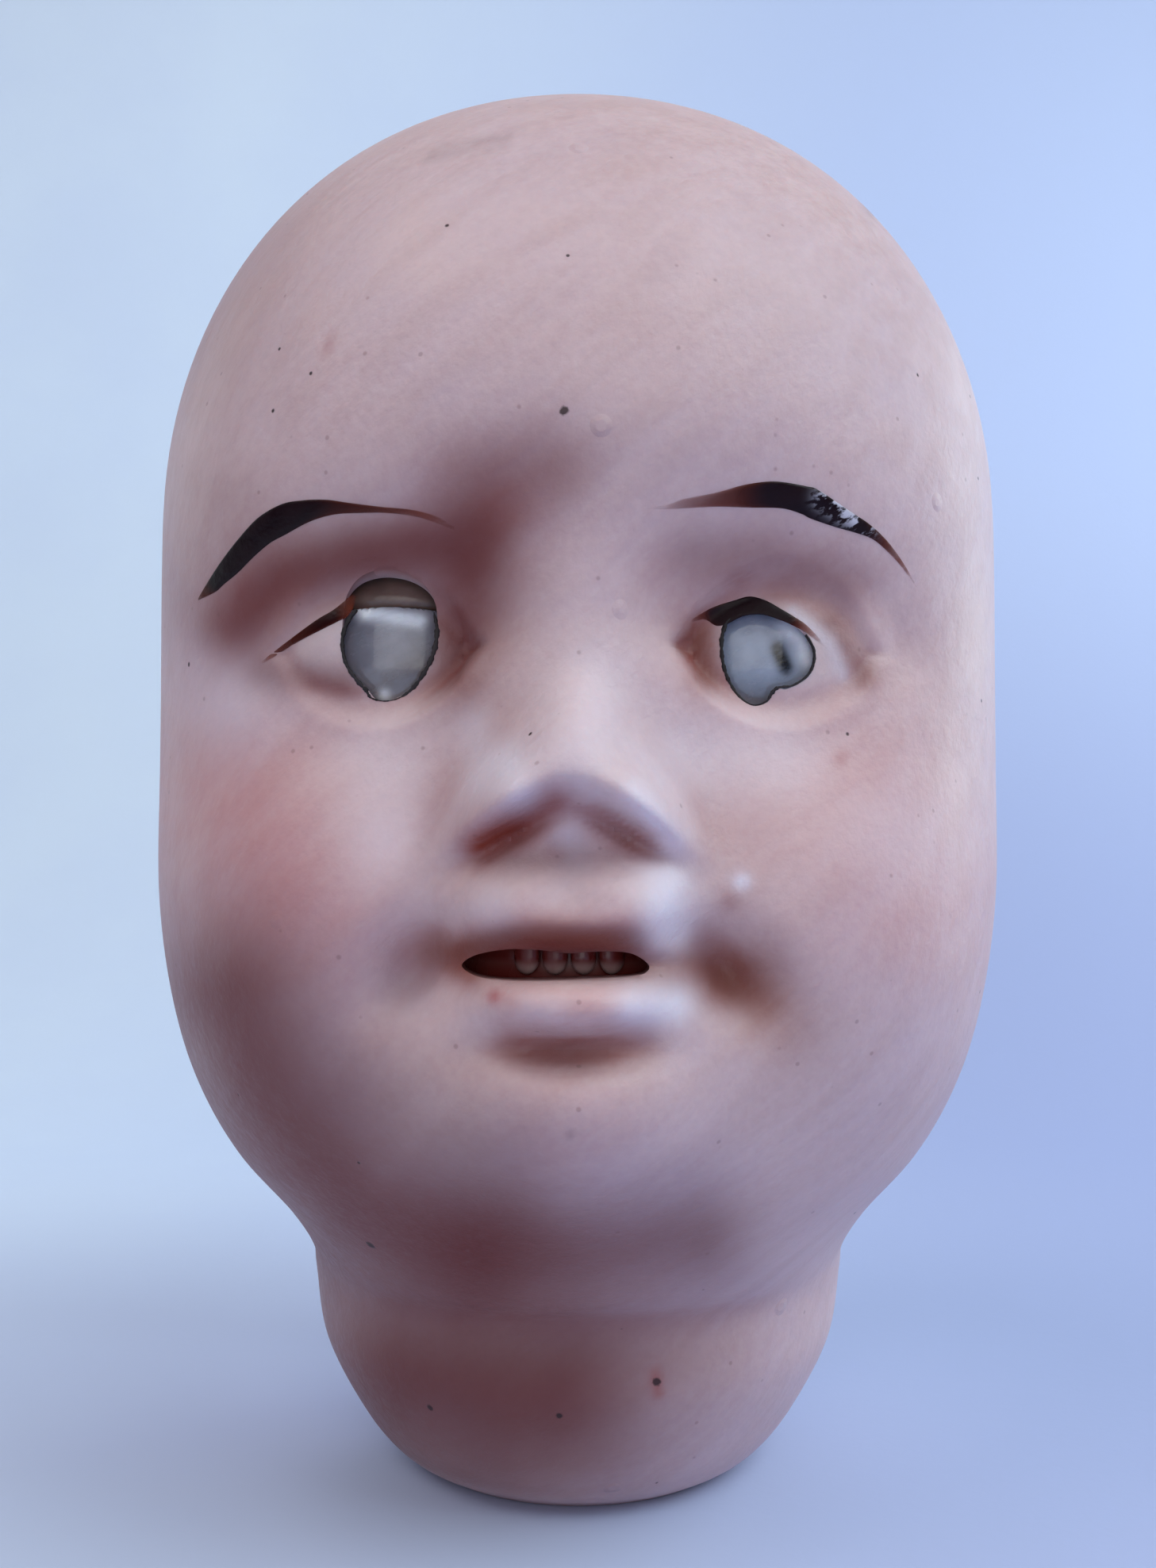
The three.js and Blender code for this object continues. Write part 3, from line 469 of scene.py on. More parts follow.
# Outlines traced in the photograph's pixels, x and y in turn
EYE_OPENINGS = {
    "right": [434, 765, 440, 745, 455, 727, 480, 718, 510, 722, 535, 738, 549, 762, 551, 790,
              549, 815, 540, 840, 527, 860, 515, 872, 500, 880, 485, 884, 472, 880, 462, 868,
              448, 855, 436, 840, 430, 820, 431, 795],
    "left": [915, 782, 935, 774, 960, 772, 985, 779, 1006, 790, 1020, 803, 1027, 820, 1027, 838,
             1019, 853, 1005, 863, 990, 869, 981, 868, 974, 876, 966, 886, 950, 890, 934, 882,
             922, 868, 913, 848, 909, 825, 910, 800],
}
MOUTH_SLIT = [582, 1217, 600, 1204, 640, 1197, 680, 1198, 715, 1202, 750, 1200, 790, 1201,
              812, 1211, 818, 1222, 800, 1231, 740, 1235, 680, 1237, 630, 1236, 598, 1230]
# Brush strokes of enamel: how high they stand, how thin they lie at even steps along them,
# from 0 thick to 1 gone, and their upper and lower edge
ENAMEL = {
    "right_brow": (0.07, [0.5, 0.12, 0.05, 0, 0, 0, 0.1, 0.25, 0.35, 0.45, 0.7, 1],
        [250, 754, 264, 730, 280, 706, 300, 680, 325, 653, 354, 636, 380, 631, 410, 630,
         440, 634, 480, 639, 520, 643, 552, 652, 572, 664],
        [250, 757, 272, 746, 282, 737, 300, 722, 320, 702, 340, 685, 360, 674, 390, 658,
         420, 649, 450, 647, 490, 647, 530, 653, 572, 668]),
    "left_brow": (0.07, [1, 0.75, 0.6, 0.4, 0.1, 0, 0, 0, 0.1, 0.35, 0.6, 1],
        [800, 641, 840, 636, 862, 629, 903, 621, 940, 611, 977, 607, 1016, 613, 1030, 617,
         1053, 632, 1075, 647, 1096, 661, 1118, 682, 1139, 711, 1161, 750],
        [800, 643, 844, 642, 862, 641, 903, 639, 944, 640, 985, 641, 1010, 648, 1022, 654,
         1051, 664, 1079, 672, 1100, 680, 1118, 695, 1139, 718, 1162, 752]),
    "right_lash": (0.05, [0.9, 0.45, 0.3, 0.2, 0.2, 0.5, 1],
        [330, 834, 350, 818, 375, 799, 400, 781, 420, 769, 437, 755, 447, 742],
        [331, 838, 352, 824, 378, 808, 405, 794, 425, 784, 440, 775, 452, 750]),
    "left_lash": (0.05, [1, 0.2, 0, 0, 0.15, 0.6, 1],
        [862, 787, 883, 774, 900, 765, 925, 757, 945, 752, 965, 757, 985, 768, 1000, 777,
         1015, 787, 1030, 802, 1045, 820],
        [862, 789, 886, 781, 903, 789, 918, 786, 937, 777, 960, 775, 984, 782, 1000, 789,
         1013, 796, 1030, 809, 1046, 823]),
}
# Strokes of a mask of light patches on the brow, part worn enamel and part painted glint:
# half width, strength, and the line in pixels, x and y in turn
WEAR_AND_GLINT_STROKES = {"left_brow": [(13, 1, 1040, 628, 1066, 646, 1090, 664)]}


def enamel_stroke(name, lift, fades, above, below):
    """A brush stroke fired on the face: a flat bead carried between its two edges, as high as
    the lift in the middle and sunk into the bisque below, tapering to nothing at both ends."""
    steps, sunk = 140, 0.12
    above, below = pairs(above), pairs(below)
    t = np.linspace(0, len(above) - LAST_BEFORE, steps)
    high, low = cubic(above, t), cubic(below, t)
    angle = circle(20)
    across = (1 + np.cos(angle)) / 2
    pixels = low[:, None] + across[None, :, None] * (high - low)[:, None]
    ends = np.sqrt(np.clip(np.sin(np.linspace(0.02, np.pi - 0.02, steps)), 0, 1))[:, None]
    s = np.sin(angle)[None]
    out = np.where(s > 0, lift * np.abs(s) ** 0.6 * ends, sunk * s)
    stroke = rings_object(name, on_face(*seen_at(pixels), out))
    thin = np.interp(np.linspace(0, 1, steps), np.linspace(0, 1, len(fades)), fades)
    thin = thin[:, None] + 0.15 * np.abs(np.cos(angle)) ** 6
    carry(stroke.data, "thin", np.concatenate([thin.ravel(), thin[[0, -1]].mean(axis=1)]))
    seen = photo_pixels(points_of(stroke.data))
    carry(stroke.data, "wear_and_glint", stroke_mask(seen, WEAR_AND_GLINT_STROKES.get(name, ())))
    return stroke


# Materials

def srgb(red, green, blue):
    """A colour written as it looks on screen, 0 to 255, as linear light."""
    c = np.array([red, green, blue]) / 255
    linear = np.where(c <= 0.04045, c / 12.92, ((c + 0.055) / 1.055) ** 2.4)
    return (*linear.tolist(), 1)


def feed(tree, entry, value):
    """Sets a node's input to a value, or joins another node's socket to it."""
    if isinstance(value, bpy.types.NodeSocket):
        tree.links.new(value, entry)
    else:
        entry.default_value = value


def node(tree, kind, inputs=(), **settings):
    """Adds a node with its settings, and with its inputs fed."""
    made = tree.nodes.new("ShaderNode" + kind)
    for key, value in settings.items():
        setattr(made, key, value)
    for key, value in dict(inputs).items():
        feed(tree, made.inputs[key], value)
    return made


def maths(tree, operation, a, b, clamp=False):
    """A sum of two values or sockets, kept between 0 and 1 where it is clamped."""
    return node(tree, "Math", {0: a, 1: b}, operation=operation, use_clamp=clamp).outputs[0]


def ranged(tree, value, low, high, start=0.0, end=1.0):
    """A value's stretch from low to high, eased over from start to end."""
    steps = {"Value": value, "From Min": low, "From Max": high, "To Min": start, "To Max": end}
    return node(tree, "MapRange", steps, interpolation_type="SMOOTHSTEP").outputs[0]


def effect(tree, group, **inputs):
    """The output of a shared effect, with its inputs given by name."""
    return node(tree, "Group", inputs, node_tree=group).outputs[0]


def shared(build, output, kind, **inputs):
    """A shared effect: a node group with named inputs, whose one named output is what the build
    makes of them and of the place on the piece."""
    tree = bpy.data.node_groups.new(build.__name__, "ShaderNodeTree")
    sockets = [(label, "INPUT", entry) for label, entry in inputs.items()]
    for label, way, sort in sockets + [(output, "OUTPUT", kind)]:
        tree.interface.new_socket(label, in_out=way, socket_type="NodeSocket" + sort)
    entry = tree.nodes.new("NodeGroupInput")
    place = node(tree, "TexCoord").outputs["Object"]
    made = build(tree, place, *entry.outputs[:len(inputs)])
    tree.links.new(made, tree.nodes.new("NodeGroupOutput").inputs[0])
    return tree


def mottle(tree, place, size, slant, stretch):
    """Soft clouds at one size with finer ones in them, stretched along a slant."""
    turned = node(tree, "VectorRotate", {"Vector": place, "Angle": slant},
                  rotation_type="Y_AXIS").outputs[0]
    place = node(tree, "VectorMath", {0: turned, 1: stretch}, operation="MULTIPLY").outputs[0]
    noise = node(tree, "TexNoise", {"Vector": place, "Scale": maths(tree, "DIVIDE", 1.0, size),
                                    "Detail": 5, "Roughness": 0.55})
    return ranged(tree, noise.outputs[0], 0.3, 0.7)


def specks(tree, place, size, width, share):
    """Round specks in some cells of a Voronoi pattern: cell size, speck size and how many."""
    cells = node(tree, "TexVoronoi", {"Vector": place, "Scale": maths(tree, "DIVIDE", 1.0, size)})
    chance = node(tree, "SeparateColor", {0: cells.outputs["Color"]}).outputs[0]
    chosen = maths(tree, "LESS_THAN", chance, share)
    steps = {"Value": cells.outputs["Distance"], "From Min": width,
             "From Max": maths(tree, "MULTIPLY", width, 0.5)}
    return maths(tree, "MULTIPLY", node(tree, "MapRange", steps).outputs[0], chosen, clamp=True)


def relief(tree, place, size, depth, extra):
    """A surface normal roughened by fine noise of a size and depth, and by an extra height."""
    noise = node(tree, "TexNoise", {"Vector": place, "Scale": maths(tree, "DIVIDE", 1.0, size),
                                    "Detail": 4})
    height = maths(tree, "ADD", noise.outputs[0], extra)
    return node(tree, "Bump", {"Height": height, "Distance": depth, "Strength": 1.0}).outputs[0]


def spot(tree, place, centre, radius):
    """One round spot of a radius about a centre, a little ragged at its edge."""
    away = node(tree, "VectorMath", {0: place, 1: centre}, operation="DISTANCE")
    noise = node(tree, "TexNoise", {"Vector": place, "Scale": 4000.0}).outputs[0]
    ragged = maths(tree, "MULTIPLY", away.outputs["Value"], maths(tree, "ADD", noise, 0.5))
    steps = {"Value": ragged, "From Min": radius, "From Max": maths(tree, "MULTIPLY", radius, 0.6)}
    return node(tree, "MapRange", steps).outputs[0]


MOTTLE = shared(mottle, "Share", "Float", Size="Float", Slant="Float", Stretch="Vector")
SPECKS = shared(specks, "Mask", "Float", Size="Float", Width="Float", Share="Float")
RELIEF = shared(relief, "Normal", "Vector", Size="Float", Depth="Float", Extra="Float")
SPOT = shared(spot, "Mask", "Float", Centre="Vector", Radius="Float")


class Surface:
    """A material while it is made: its Principled shader and the colour laid on so far."""

    def __init__(self, name, **values):
        self.material = bpy.data.materials.new(name)
        self.material.use_nodes = True
        self.tree = self.material.node_tree
        self.colour = None
        self.fill(values)

    def fill(self, values):
        """Feeds the shader's inputs of those names."""
        shader = self.tree.nodes["Principled BSDF"]
        for key, value in values.items():
            feed(self.tree, shader.inputs[key.replace("_", " ")], value)

    def clouds(self, size, slant=0.0, stretch=(1, 1, 1)):
        """The share of a mottle of a size in metres."""
        return effect(self.tree, MOTTLE, Size=size, Slant=slant, Stretch=stretch)

    def specks(self, size, width, share):
        """The mask of specks in a share of the cells of a size in metres."""
        return effect(self.tree, SPECKS, Size=size, Width=width, Share=share)

    def painted(self, name):
        """The mask that a piece carries on its points under a name."""
        return node(self.tree, "Attribute", attribute_name=name).outputs["Fac"]

    def maths(self, operation, a, b, clamp=False):
        """A sum among the material's own nodes."""
        return maths(self.tree, operation, a, b, clamp)

    def eased(self, value, start, end, low=0.0, high=1.0):
        """From start to end, as the value goes from low to high."""
        return ranged(self.tree, value, low, high, start, end)

    def base(self, share, tint, other):
        """The first colour: the other tint over the first one by a share."""
        self.colour = srgb(*tint)
        self.lay(share, other)

    def lay(self, share, tint, strength=None):
        """One more tint over the colour, by a share that a strength may thin."""
        if strength is not None:
            share = self.maths("MULTIPLY", share, strength)
        mix = node(self.tree, "Mix", {0: share, 6: self.colour, 7: srgb(*tint)}, data_type="RGBA")
        self.colour = mix.outputs[2]

    def done(self, rough, size, depth, extra, **more):
        """The finished material: colour, roughness, fine relief and more joined to the shader."""
        normal = effect(self.tree, RELIEF, Size=size, Depth=depth, Extra=extra)
        self.fill({"Base_Color": self.colour, "Roughness": rough, "Normal": normal, **more})
        return self.material


# Colours painted on the bisque, in this order, each by the mask of its name. The shade and the
# brown of the creases are painted shade, the reddish brown is part paint and part painted shade,
# and the pale is painted highlight
PAINTS = {"whites": (226, 212, 212), "blush": (190, 96, 92), "lips": (176, 84, 88),
          "warm_paint_and_shade": (140, 50, 28), "shade": (102, 30, 26), "crease_shade": (134, 76, 64),
          "pale": (230, 222, 236), "maroon": (122, 36, 34), "red": (150, 50, 40),
          "marks": (52, 30, 30)}
# Single dark specks, by the photograph's pixels, and their radius in millimetres
FIRING_SPECKS = [((711, 518), 0.24), ((467, 1570), 0.3), ((542, 1775), 0.22), ((705, 1785), 0.2),
                 ((828, 1742), 0.26), ((352, 440), 0.1), ((716, 322), 0.1), ((238, 838), 0.14)]


def make_bisque():
    """Tinted porcelain, fired without glaze: clouded pink body with slanting brush strokes and
    pale grain, then the paints, painted shade and painted highlights among them, uneven where
    they are rubbed in, then dark specks and dust."""
    look = Surface("bisque", Subsurface_Weight=0.25, Subsurface_Scale=0.0012,
                   Subsurface_Radius=(1, 0.35, 0.25), Specular_IOR_Level=0.3)
    clouds, grain = look.clouds(0.012), look.clouds(0.0005)
    strokes = look.clouds(0.0016, 0.7, (0.18, 1, 1))
    look.base(clouds, (208, 176, 177), (200, 172, 180))
    look.lay(strokes, (178, 138, 136), 0.25)
    look.lay(grain, (238, 214, 210), 0.12)
    look.lay(look.painted("inside"), (222, 208, 196))
    rubbed = look.eased(look.maths("ADD", strokes, clouds), 0.82, 1.0, 0.2, 1.6)
    # Painted shade and painted highlights are laid on here along with the real paints
    for name, tint in PAINTS.items():
        share = look.painted(name)
        if name != "shade":
            share = look.maths("MULTIPLY", share, rubbed, clamp=True)
        look.lay(share, tint)
    pepper, dust = look.specks(0.0021, 0.06, 0.08), look.specks(0.0009, 0.16, 0.1)
    pimples = look.specks(0.0052, 0.1, 0.45)
    look.lay(pepper, (66, 48, 50))
    for pixel, radius in FIRING_SPECKS:
        centre = TO_FRAME @ Vector(on_face(*seen_at([pixel]))[0])
        fired = effect(look.tree, SPOT, Centre=centre, Radius=radius / MM_IN_METRE)
        look.lay(fired, (44, 24, 26), 0.9)
    look.lay(dust, (120, 84, 82), 0.35)
    rough = look.eased(look.maths("ADD", grain, clouds), 0.42, 0.56, 0.3, 1.7)
    bumps = look.maths("SUBTRACT", look.maths("MULTIPLY", strokes, 0.9), pepper)
    bumps = look.maths("ADD", bumps, look.maths("MULTIPLY", pimples, 2.0))
    return look.done(rough, 0.0004, 0.00004, bumps)


def make_enamel():
    """Fired brow enamel, satin: near black where thick, red brown and thinning out where the
    brush left, with light patches that are part worn enamel and part painted glint."""
    look = Surface("enamel", Specular_IOR_Level=0.15)
    hairs, flecks = look.clouds(0.0009, 0.3, (0.12, 1, 1)), look.clouds(0.0005, 0.3, (0.4, 1, 1))
    thin = look.painted("thin")
    look.base(look.eased(thin, 0.0, 1.0, 0.1, 0.8), (20, 3, 10), (132, 52, 28))
    look.lay(hairs, (38, 12, 18), 0.3)
    glint_flecks = look.eased(flecks, 0.0, 1.0, 0.45, 0.75)
    look.lay(look.maths("MULTIPLY", look.painted("wear_and_glint"), glint_flecks, clamp=True), (196, 190, 204))
    bare = look.maths("MULTIPLY", hairs, look.eased(thin, 0.0, 0.6, 0.3, 1.0))
    cover = look.maths("SUBTRACT", 1.25, look.maths("ADD", thin, bare), clamp=True)
    return look.done(look.eased(hairs, 0.3, 0.45), 0.0003, 0.00002, hairs, Alpha=cover)


def make_glass(name, pale, dull):
    """Milky blown glass: two clouded tones with fine grey streaks, stained brown low down, with
    painted glints and what is left of the pupil."""
    look = Surface(name, Coat_Weight=0.6, Coat_Roughness=0.06, Subsurface_Weight=0.2,
                   Subsurface_Scale=0.001)
    clouds, fine = look.clouds(0.0035, 0.4, (1, 1, 0.6)), look.clouds(0.0006, 0.4, (0.4, 1, 1))
    look.base(clouds, pale, dull)
    look.lay(fine, (96, 98, 110), 0.15)
    uneven = look.eased(fine, 0.9, 1.1, 0.0, 0.8)
    for mark, tint in (("stain", (92, 74, 62)), ("painted_glint", (238, 240, 248)),
                       ("pupil", (10, 8, 14))):
        look.lay(look.maths("MULTIPLY", look.painted(mark), uneven, clamp=True), tint)
    return look.done(look.eased(fine, 0.12, 0.3), 0.0009, 0.00001, fine)


def make_wax():
    """Tinted wax over the glass: two clouded browns, a little clear, with fine scratches."""
    look = Surface("tinted_wax", Subsurface_Weight=0.4, Subsurface_Scale=0.0008, Coat_Weight=0.3)
    clouds, fine = look.clouds(0.0022, 0.2), look.clouds(0.0005, 0.5, (0.3, 1, 1))
    look.base(clouds, (124, 98, 88), (98, 74, 66))
    look.lay(fine, (84, 60, 50), 0.3)
    return look.done(look.eased(fine, 0.3, 0.5), 0.0006, 0.00002, clouds)


def make_stone(name, light, dark, size, depth, rough=0.9):
    """A cast or caked matt surface: two tones in clouds, with darker pits sunk in it."""
    look = Surface(name)
    clouds, pits = look.clouds(size * 6), look.specks(size, 0.3, 0.4)
    look.base(clouds, light, dark)
    look.lay(pits, dark, 0.5)
    return look.done(look.eased(clouds, rough - 0.1, rough), size, depth,
                     look.maths("MULTIPLY", pits, -1.0))


def make_cork():
    """Cork bark: brown grains of many tints from Voronoi cells, with dark pores between them."""
    look = Surface("cork")
    place = node(look.tree, "TexCoord").outputs["Object"]
    cells = node(look.tree, "TexVoronoi", {"Vector": place, "Scale": 1300.0})
    tint = node(look.tree, "SeparateColor", {0: cells.outputs["Color"]}).outputs[1]
    pores = look.specks(0.0022, 0.34, 0.3)
    look.base(tint, (196, 150, 100), (160, 112, 70))
    look.lay(look.clouds(0.006, 0.3), (140, 96, 60), 0.4)
    look.lay(pores, (70, 44, 28))
    height = look.maths("SUBTRACT", cells.outputs["Distance"], look.maths("MULTIPLY", pores, 2))
    return look.done(look.eased(tint, 0.75, 0.95), 0.0005, 0.00006, height)


def make_metal(name, light, dark, stain, metallic, rough):
    """Old metal: two tones of a dull surface with stained patches that shine less."""
    look = Surface(name)
    clouds, fine = look.clouds(0.0014, 0.2), look.clouds(0.0003, 0.0, (1, 1, 0.3))
    patches = look.eased(look.clouds(0.003, 0.9), 0.0, 1.0, 0.5, 0.9)
    look.base(clouds, light, dark)
    look.lay(patches, stain, 0.8)
    shine = look.eased(look.maths("ADD", fine, patches), rough, rough + 0.35, 0.0, 2.0)
    return look.done(shine, 0.0003, 0.00002, patches,
                     Metallic=look.eased(patches, metallic, metallic * 0.3))


def make_beech():
    """Turned beech: upright grain in two tones, clouded, with short dark flecks, and waxed."""
    look = Surface("beech", Coat_Weight=0.15, Coat_Roughness=0.3)
    grain = look.clouds(0.0008, 0.1, (1, 1, 0.08))
    look.base(grain, (206, 164, 112), (172, 126, 78))
    look.lay(look.clouds(0.005, 0.1, (1, 1, 0.3)), (150, 104, 62), 0.4)
    look.lay(look.specks(0.0009, 0.2, 0.4), (112, 72, 42), 0.5)
    return look.done(look.eased(grain, 0.45, 0.65), 0.0004, 0.00003, grain)


def make_tooth():
    """Glazed teeth: clouded warm white, satin, and gum red by the mask of the gum, which also
    lays painted shade on the teeth above the slit.
    """
    look = Surface("tooth_enamel", Coat_Weight=0.2, Coat_Roughness=0.25)
    clouds = look.clouds(0.001, 0.0, (1, 1, 0.5))
    look.base(clouds, (226, 190, 188), (204, 156, 156))
    look.lay(look.painted("gum"), (140, 50, 46))
    return look.done(look.eased(clouds, 0.2, 0.4), 0.0004, 0.00001, clouds)


bisque, enamel, wax, tooth = make_bisque(), make_enamel(), make_wax(), make_tooth()
grey_glass = make_glass("grey_glass", (150, 148, 160), (120, 116, 126))
blue_glass = make_glass("blue_glass", (158, 166, 184), (130, 136, 154))
plaster = make_stone("plaster", (226, 219, 202), (196, 186, 164), 0.0006, 0.00004)
# Dark beads in the cut edges of the eyes: painted gap shadow with old grime
gap_shade_and_dirt = make_stone("gap_shade_and_dirt", (34, 22, 26), (16, 8, 10), 0.0003, 0.00002, 0.7)
iron = make_metal("iron", (104, 98, 94), (66, 60, 58), (96, 56, 36), 0.9, 0.4)
lead = make_metal("lead", (126, 129, 136), (86, 89, 98), (160, 162, 164), 0.7, 0.5)
cork, beech = make_cork(), make_beech()
# The CAD pieces that keep their own shape
CAD_FINISHES = {"right_eye_plaster": plaster, "left_eye_plaster": plaster,
                "right_socket_pad": plaster, "left_socket_pad": plaster,
                "rocker_wire": iron, "lead_weight": lead, "chin_cork": cork}
for name, finish in CAD_FINISHES.items():
    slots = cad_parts[name].data.materials
    slots.clear()
    slots.append(finish)


# Strokes of the masks painted on the face: half width, strength, and the line in pixels
STROKES = {
    "blush": [(130, 0.42, 300, 1010, 360, 1120), (130, 0.26, 1080, 1000, 1150, 1120),
        (70, 0.1, 700, 1430, 740, 1430), (50, 0.12, 870, 860, 930, 900)],
    "lips": [(26, 0.35, 600, 1182, 660, 1170, 716, 1182, 770, 1170, 830, 1182),
        (30, 0.28, 650, 1262, 720, 1270, 800, 1262), (9, 0.75, 622, 1256)],
    # Reddish brown: paint on the nostrils and lid creases, and painted shade beside the nose,
    # round the eyes, above the slit and under the lower lip
    "warm_paint_and_shade": [(31, 1.0, 606, 1066, 650, 1044, 700, 1016),
        (12, 0.7, 748, 1024, 786, 1046, 816, 1062),
        (16, 0.7, 580, 1206, 640, 1190, 720, 1192, 800, 1192), (20, 0.6, 548, 1210, 590, 1226),
        (26, 0.4, 650, 1314, 720, 1326, 800, 1314), (60, 0.65, 620, 650, 600, 700, 585, 770),
        (40, 0.22, 860, 770, 835, 720), (42, 0.5, 320, 760, 420, 715, 520, 690),
        (16, 0.35, 920, 1136), (18, 0.4, 930, 735, 1000, 755, 1060, 790, 1085, 850),
        (20, 0.35, 575, 800, 570, 850), (22, 0.4, 885, 800, 885, 850),
        (12, 0.5, 395, 862, 450, 872), (20, 0.12, 592, 860, 584, 960),
        (36, 0.2, 910, 735, 1000, 712, 1080, 755), (60, 0.22, 560, 600, 690, 590),
        (40, 0.35, 340, 700, 300, 790)],
    "shade": [(118, 0.86, 290, 1260, 340, 1390, 450, 1530, 600, 1580),
        (74, 0.66, 600, 1575, 720, 1580, 880, 1560),
        (20, 1.0, 585, 1202, 640, 1186, 720, 1186, 800, 1188),
        (90, 0.3, 440, 1720, 490, 1790, 600, 1850), (115, 0.82, 510, 1740, 600, 1750, 690, 1760),
        (90, 0.35, 640, 1820, 760, 1800), (80, 0.35, 740, 1700, 860, 1710),
        (54, 0.78, 300, 790, 350, 730, 440, 700, 560, 690),
        (50, 0.6, 606, 680, 590, 770, 575, 850), (66, 0.42, 610, 610, 690, 590),
        (80, 0.25, 620, 1450, 540, 1440, 450, 1370), (40, 0.4, 880, 700, 960, 700, 1060, 730),
        (28, 0.6, 430, 860, 330, 850), (24, 0.5, 1050, 790, 1088, 850),
        (110, 0.18, 250, 420, 300, 300), (60, 0.25, 280, 640, 240, 740)],
    # Painted shade in the corners of the mouth and eyes, under the upper lip and in the groove
    # under the lower lip
    "crease_shade": [(40, 0.85, 836, 1212, 880, 1220, 950, 1250), (50, 0.4, 950, 1240, 990, 1290),
        (26, 0.85, 556, 1200, 596, 1218), (24, 0.85, 880, 800, 890, 850),
        (20, 0.6, 600, 1192, 680, 1176, 800, 1184), (24, 0.3, 650, 1316, 720, 1328, 810, 1314)],
    # Painted highlights on the nose, cheeks, lips, lid fold and a small bump
    "pale": [(12, 0.9, 935, 1112), (18, 0.5, 800, 1000, 850, 1060),
        (60, 0.3, 740, 850, 732, 960), (60, 0.35, 860, 950, 980, 950),
        (34, 0.8, 840, 1115, 842, 1170), (28, 0.75, 800, 1268, 850, 1266),
        (22, 0.4, 715, 1050, 725, 1076), (34, 0.3, 500, 1240, 520, 1250),
        (28, 0.35, 598, 920, 606, 980), (26, 0.5, 640, 960, 655, 1000), (60, 0.3, 480, 1060),
        (70, 0.2, 1130, 1060), (60, 0.25, 480, 960), (60, 0.3, 300, 890), (30, 0.3, 620, 1140),
        (16, 0.3, 665, 1268, 700, 1270), (10, 0.4, 1000, 772, 1045, 810, 1062, 850)],
    "red": [(8, 0.6, 415, 440), (8, 0.5, 826, 1734, 830, 1756), (12, 0.35, 1060, 955),
        (7, 0.4, 870, 832)],
    "marks": [(6, 0.25, 540, 196, 590, 184, 640, 178), (6, 0.3, 1085, 240, 1098, 268),
        (7, 0.25, 720, 1430)],
}


def photo_pixels(points):
    """Where points in millimetres stand in the photograph."""
    away = points - EYE_POINT
    ahead = away[:, 1] * math.cos(TILT_UP) + away[:, 2] * math.sin(TILT_UP)
    up = away[:, 2] * math.cos(TILT_UP) - away[:, 1] * math.sin(TILT_UP)
    return np.column_stack([PHOTO_WIDTH / 2 + FOCAL * away[:, 0] / ahead,
                            PHOTO_HEIGHT / 2 - FOCAL * up / ahead])


def stroke_mask(pixels, strokes):
    """How strongly brush strokes cover places: each falls like a bell with the distance from
    its line, and where strokes cross, what one leaves bare the other covers in part."""
    mask = np.zeros(len(pixels))
    for width, strength, *line in strokes:
        line, near = pairs(line), np.full(len(pixels), np.inf)
        starts, ends = (line[:-1], line[1:]) if len(line) > 1 else (line, line + 0.01)
        for start, end in zip(starts, ends):
            run = end - start
            t = np.clip((pixels - start) @ run / (run @ run), 0, 1)
            away = np.linalg.norm(pixels - start - t[:, None] * run, axis=1)
            near = np.minimum(near, away)
        mask = 1 - (1 - mask) * (1 - strength * np.exp(-((near / width) ** 2)))
    return mask


def points_of(mesh):
    """A mesh's points as rows of x, y and z."""
    places = np.empty(len(mesh.vertices) * 3, np.float32)
    mesh.vertices.foreach_get("co", places)
    return places.reshape(-1, 3).astype(float)


def carry(mesh, name, mask):
    """Gives a mesh a mask on its points."""
    mesh.attributes.new(name, "FLOAT", "POINT").data.foreach_set("value", mask.astype(np.float32))


def paint_face(mesh):
    """The face's colours on the outer skin in front, with reddish brown painted shade where the
    face lies under the level round it, white in the almonds of the eyes, maroon in the mouth and
    bare inside."""
    points = points_of(mesh)
    x, y, z = points.T
    front = face_front(x, z)
    skin = smooth(-0.5, -0.1, -y - front) * smooth(0, 4, -y) * smooth(0, 2, z)
    pixels = photo_pixels(points)
    masks = {name: stroke_mask(pixels, strokes) * skin for name, strokes in STROKES.items()}
    # Painted shade: the face darkens reddish brown where it lies under the level round it
    hollow, near, far = np.zeros(len(x)), 0.8, 1.8
    for radius in (near, far):
        level = sum(face_front(x + radius * math.cos(a), z + radius * math.sin(a))
                    for a in circle(8)) / 8
        hollow = hollow + smooth(0.02, 0.5, (level - front) / radius)
    half = np.interp(z, FACE_ROWS[:, 0], FACE_ROWS[:, 1])
    hollow = hollow * (1 - smooth(0.6, 0.75, np.abs(x) / half)) * (1 - smooth(57, 61, z))
    faint = 0.35
    masks["warm_paint_and_shade"] = np.maximum(masks["warm_paint_and_shade"], faint * hollow * skin)
    q = (np.abs(x) - EYE_X - ALMOND_OUT * EYEBALL) / (ALMOND_WIDTH * EYEBALL)
    almond = ALMOND_HEIGHT * np.maximum(1 - q * q, 0) ** ALMOND_ROUND * EYEBALL
    masks["whites"] = faint * smooth(0, 0.6, almond - np.abs(z - EYE_HEIGHT)) * skin
    mouth_side, mouth_z, mouth_tall, mouth_back = 9, 31, 8.5, -8
    masks["maroon"] = (smooth(0.05, 0.3, y + front) * (np.abs(x) < mouth_side)
                       * (np.abs(z - mouth_z) < mouth_tall) * (y < mouth_back))
    back = np.interp(z, FACE_ROWS[:, 0], FACE_ROWS[:, 3])
    depth = np.hypot(x / half, y / np.where(y < 0, front.clip(1), back))
    masks["inside"] = (1 - smooth(0.9, 0.96, depth)) * (masks["maroon"] < 0.5)
    for name, mask in masks.items():
        carry(mesh, name, mask)


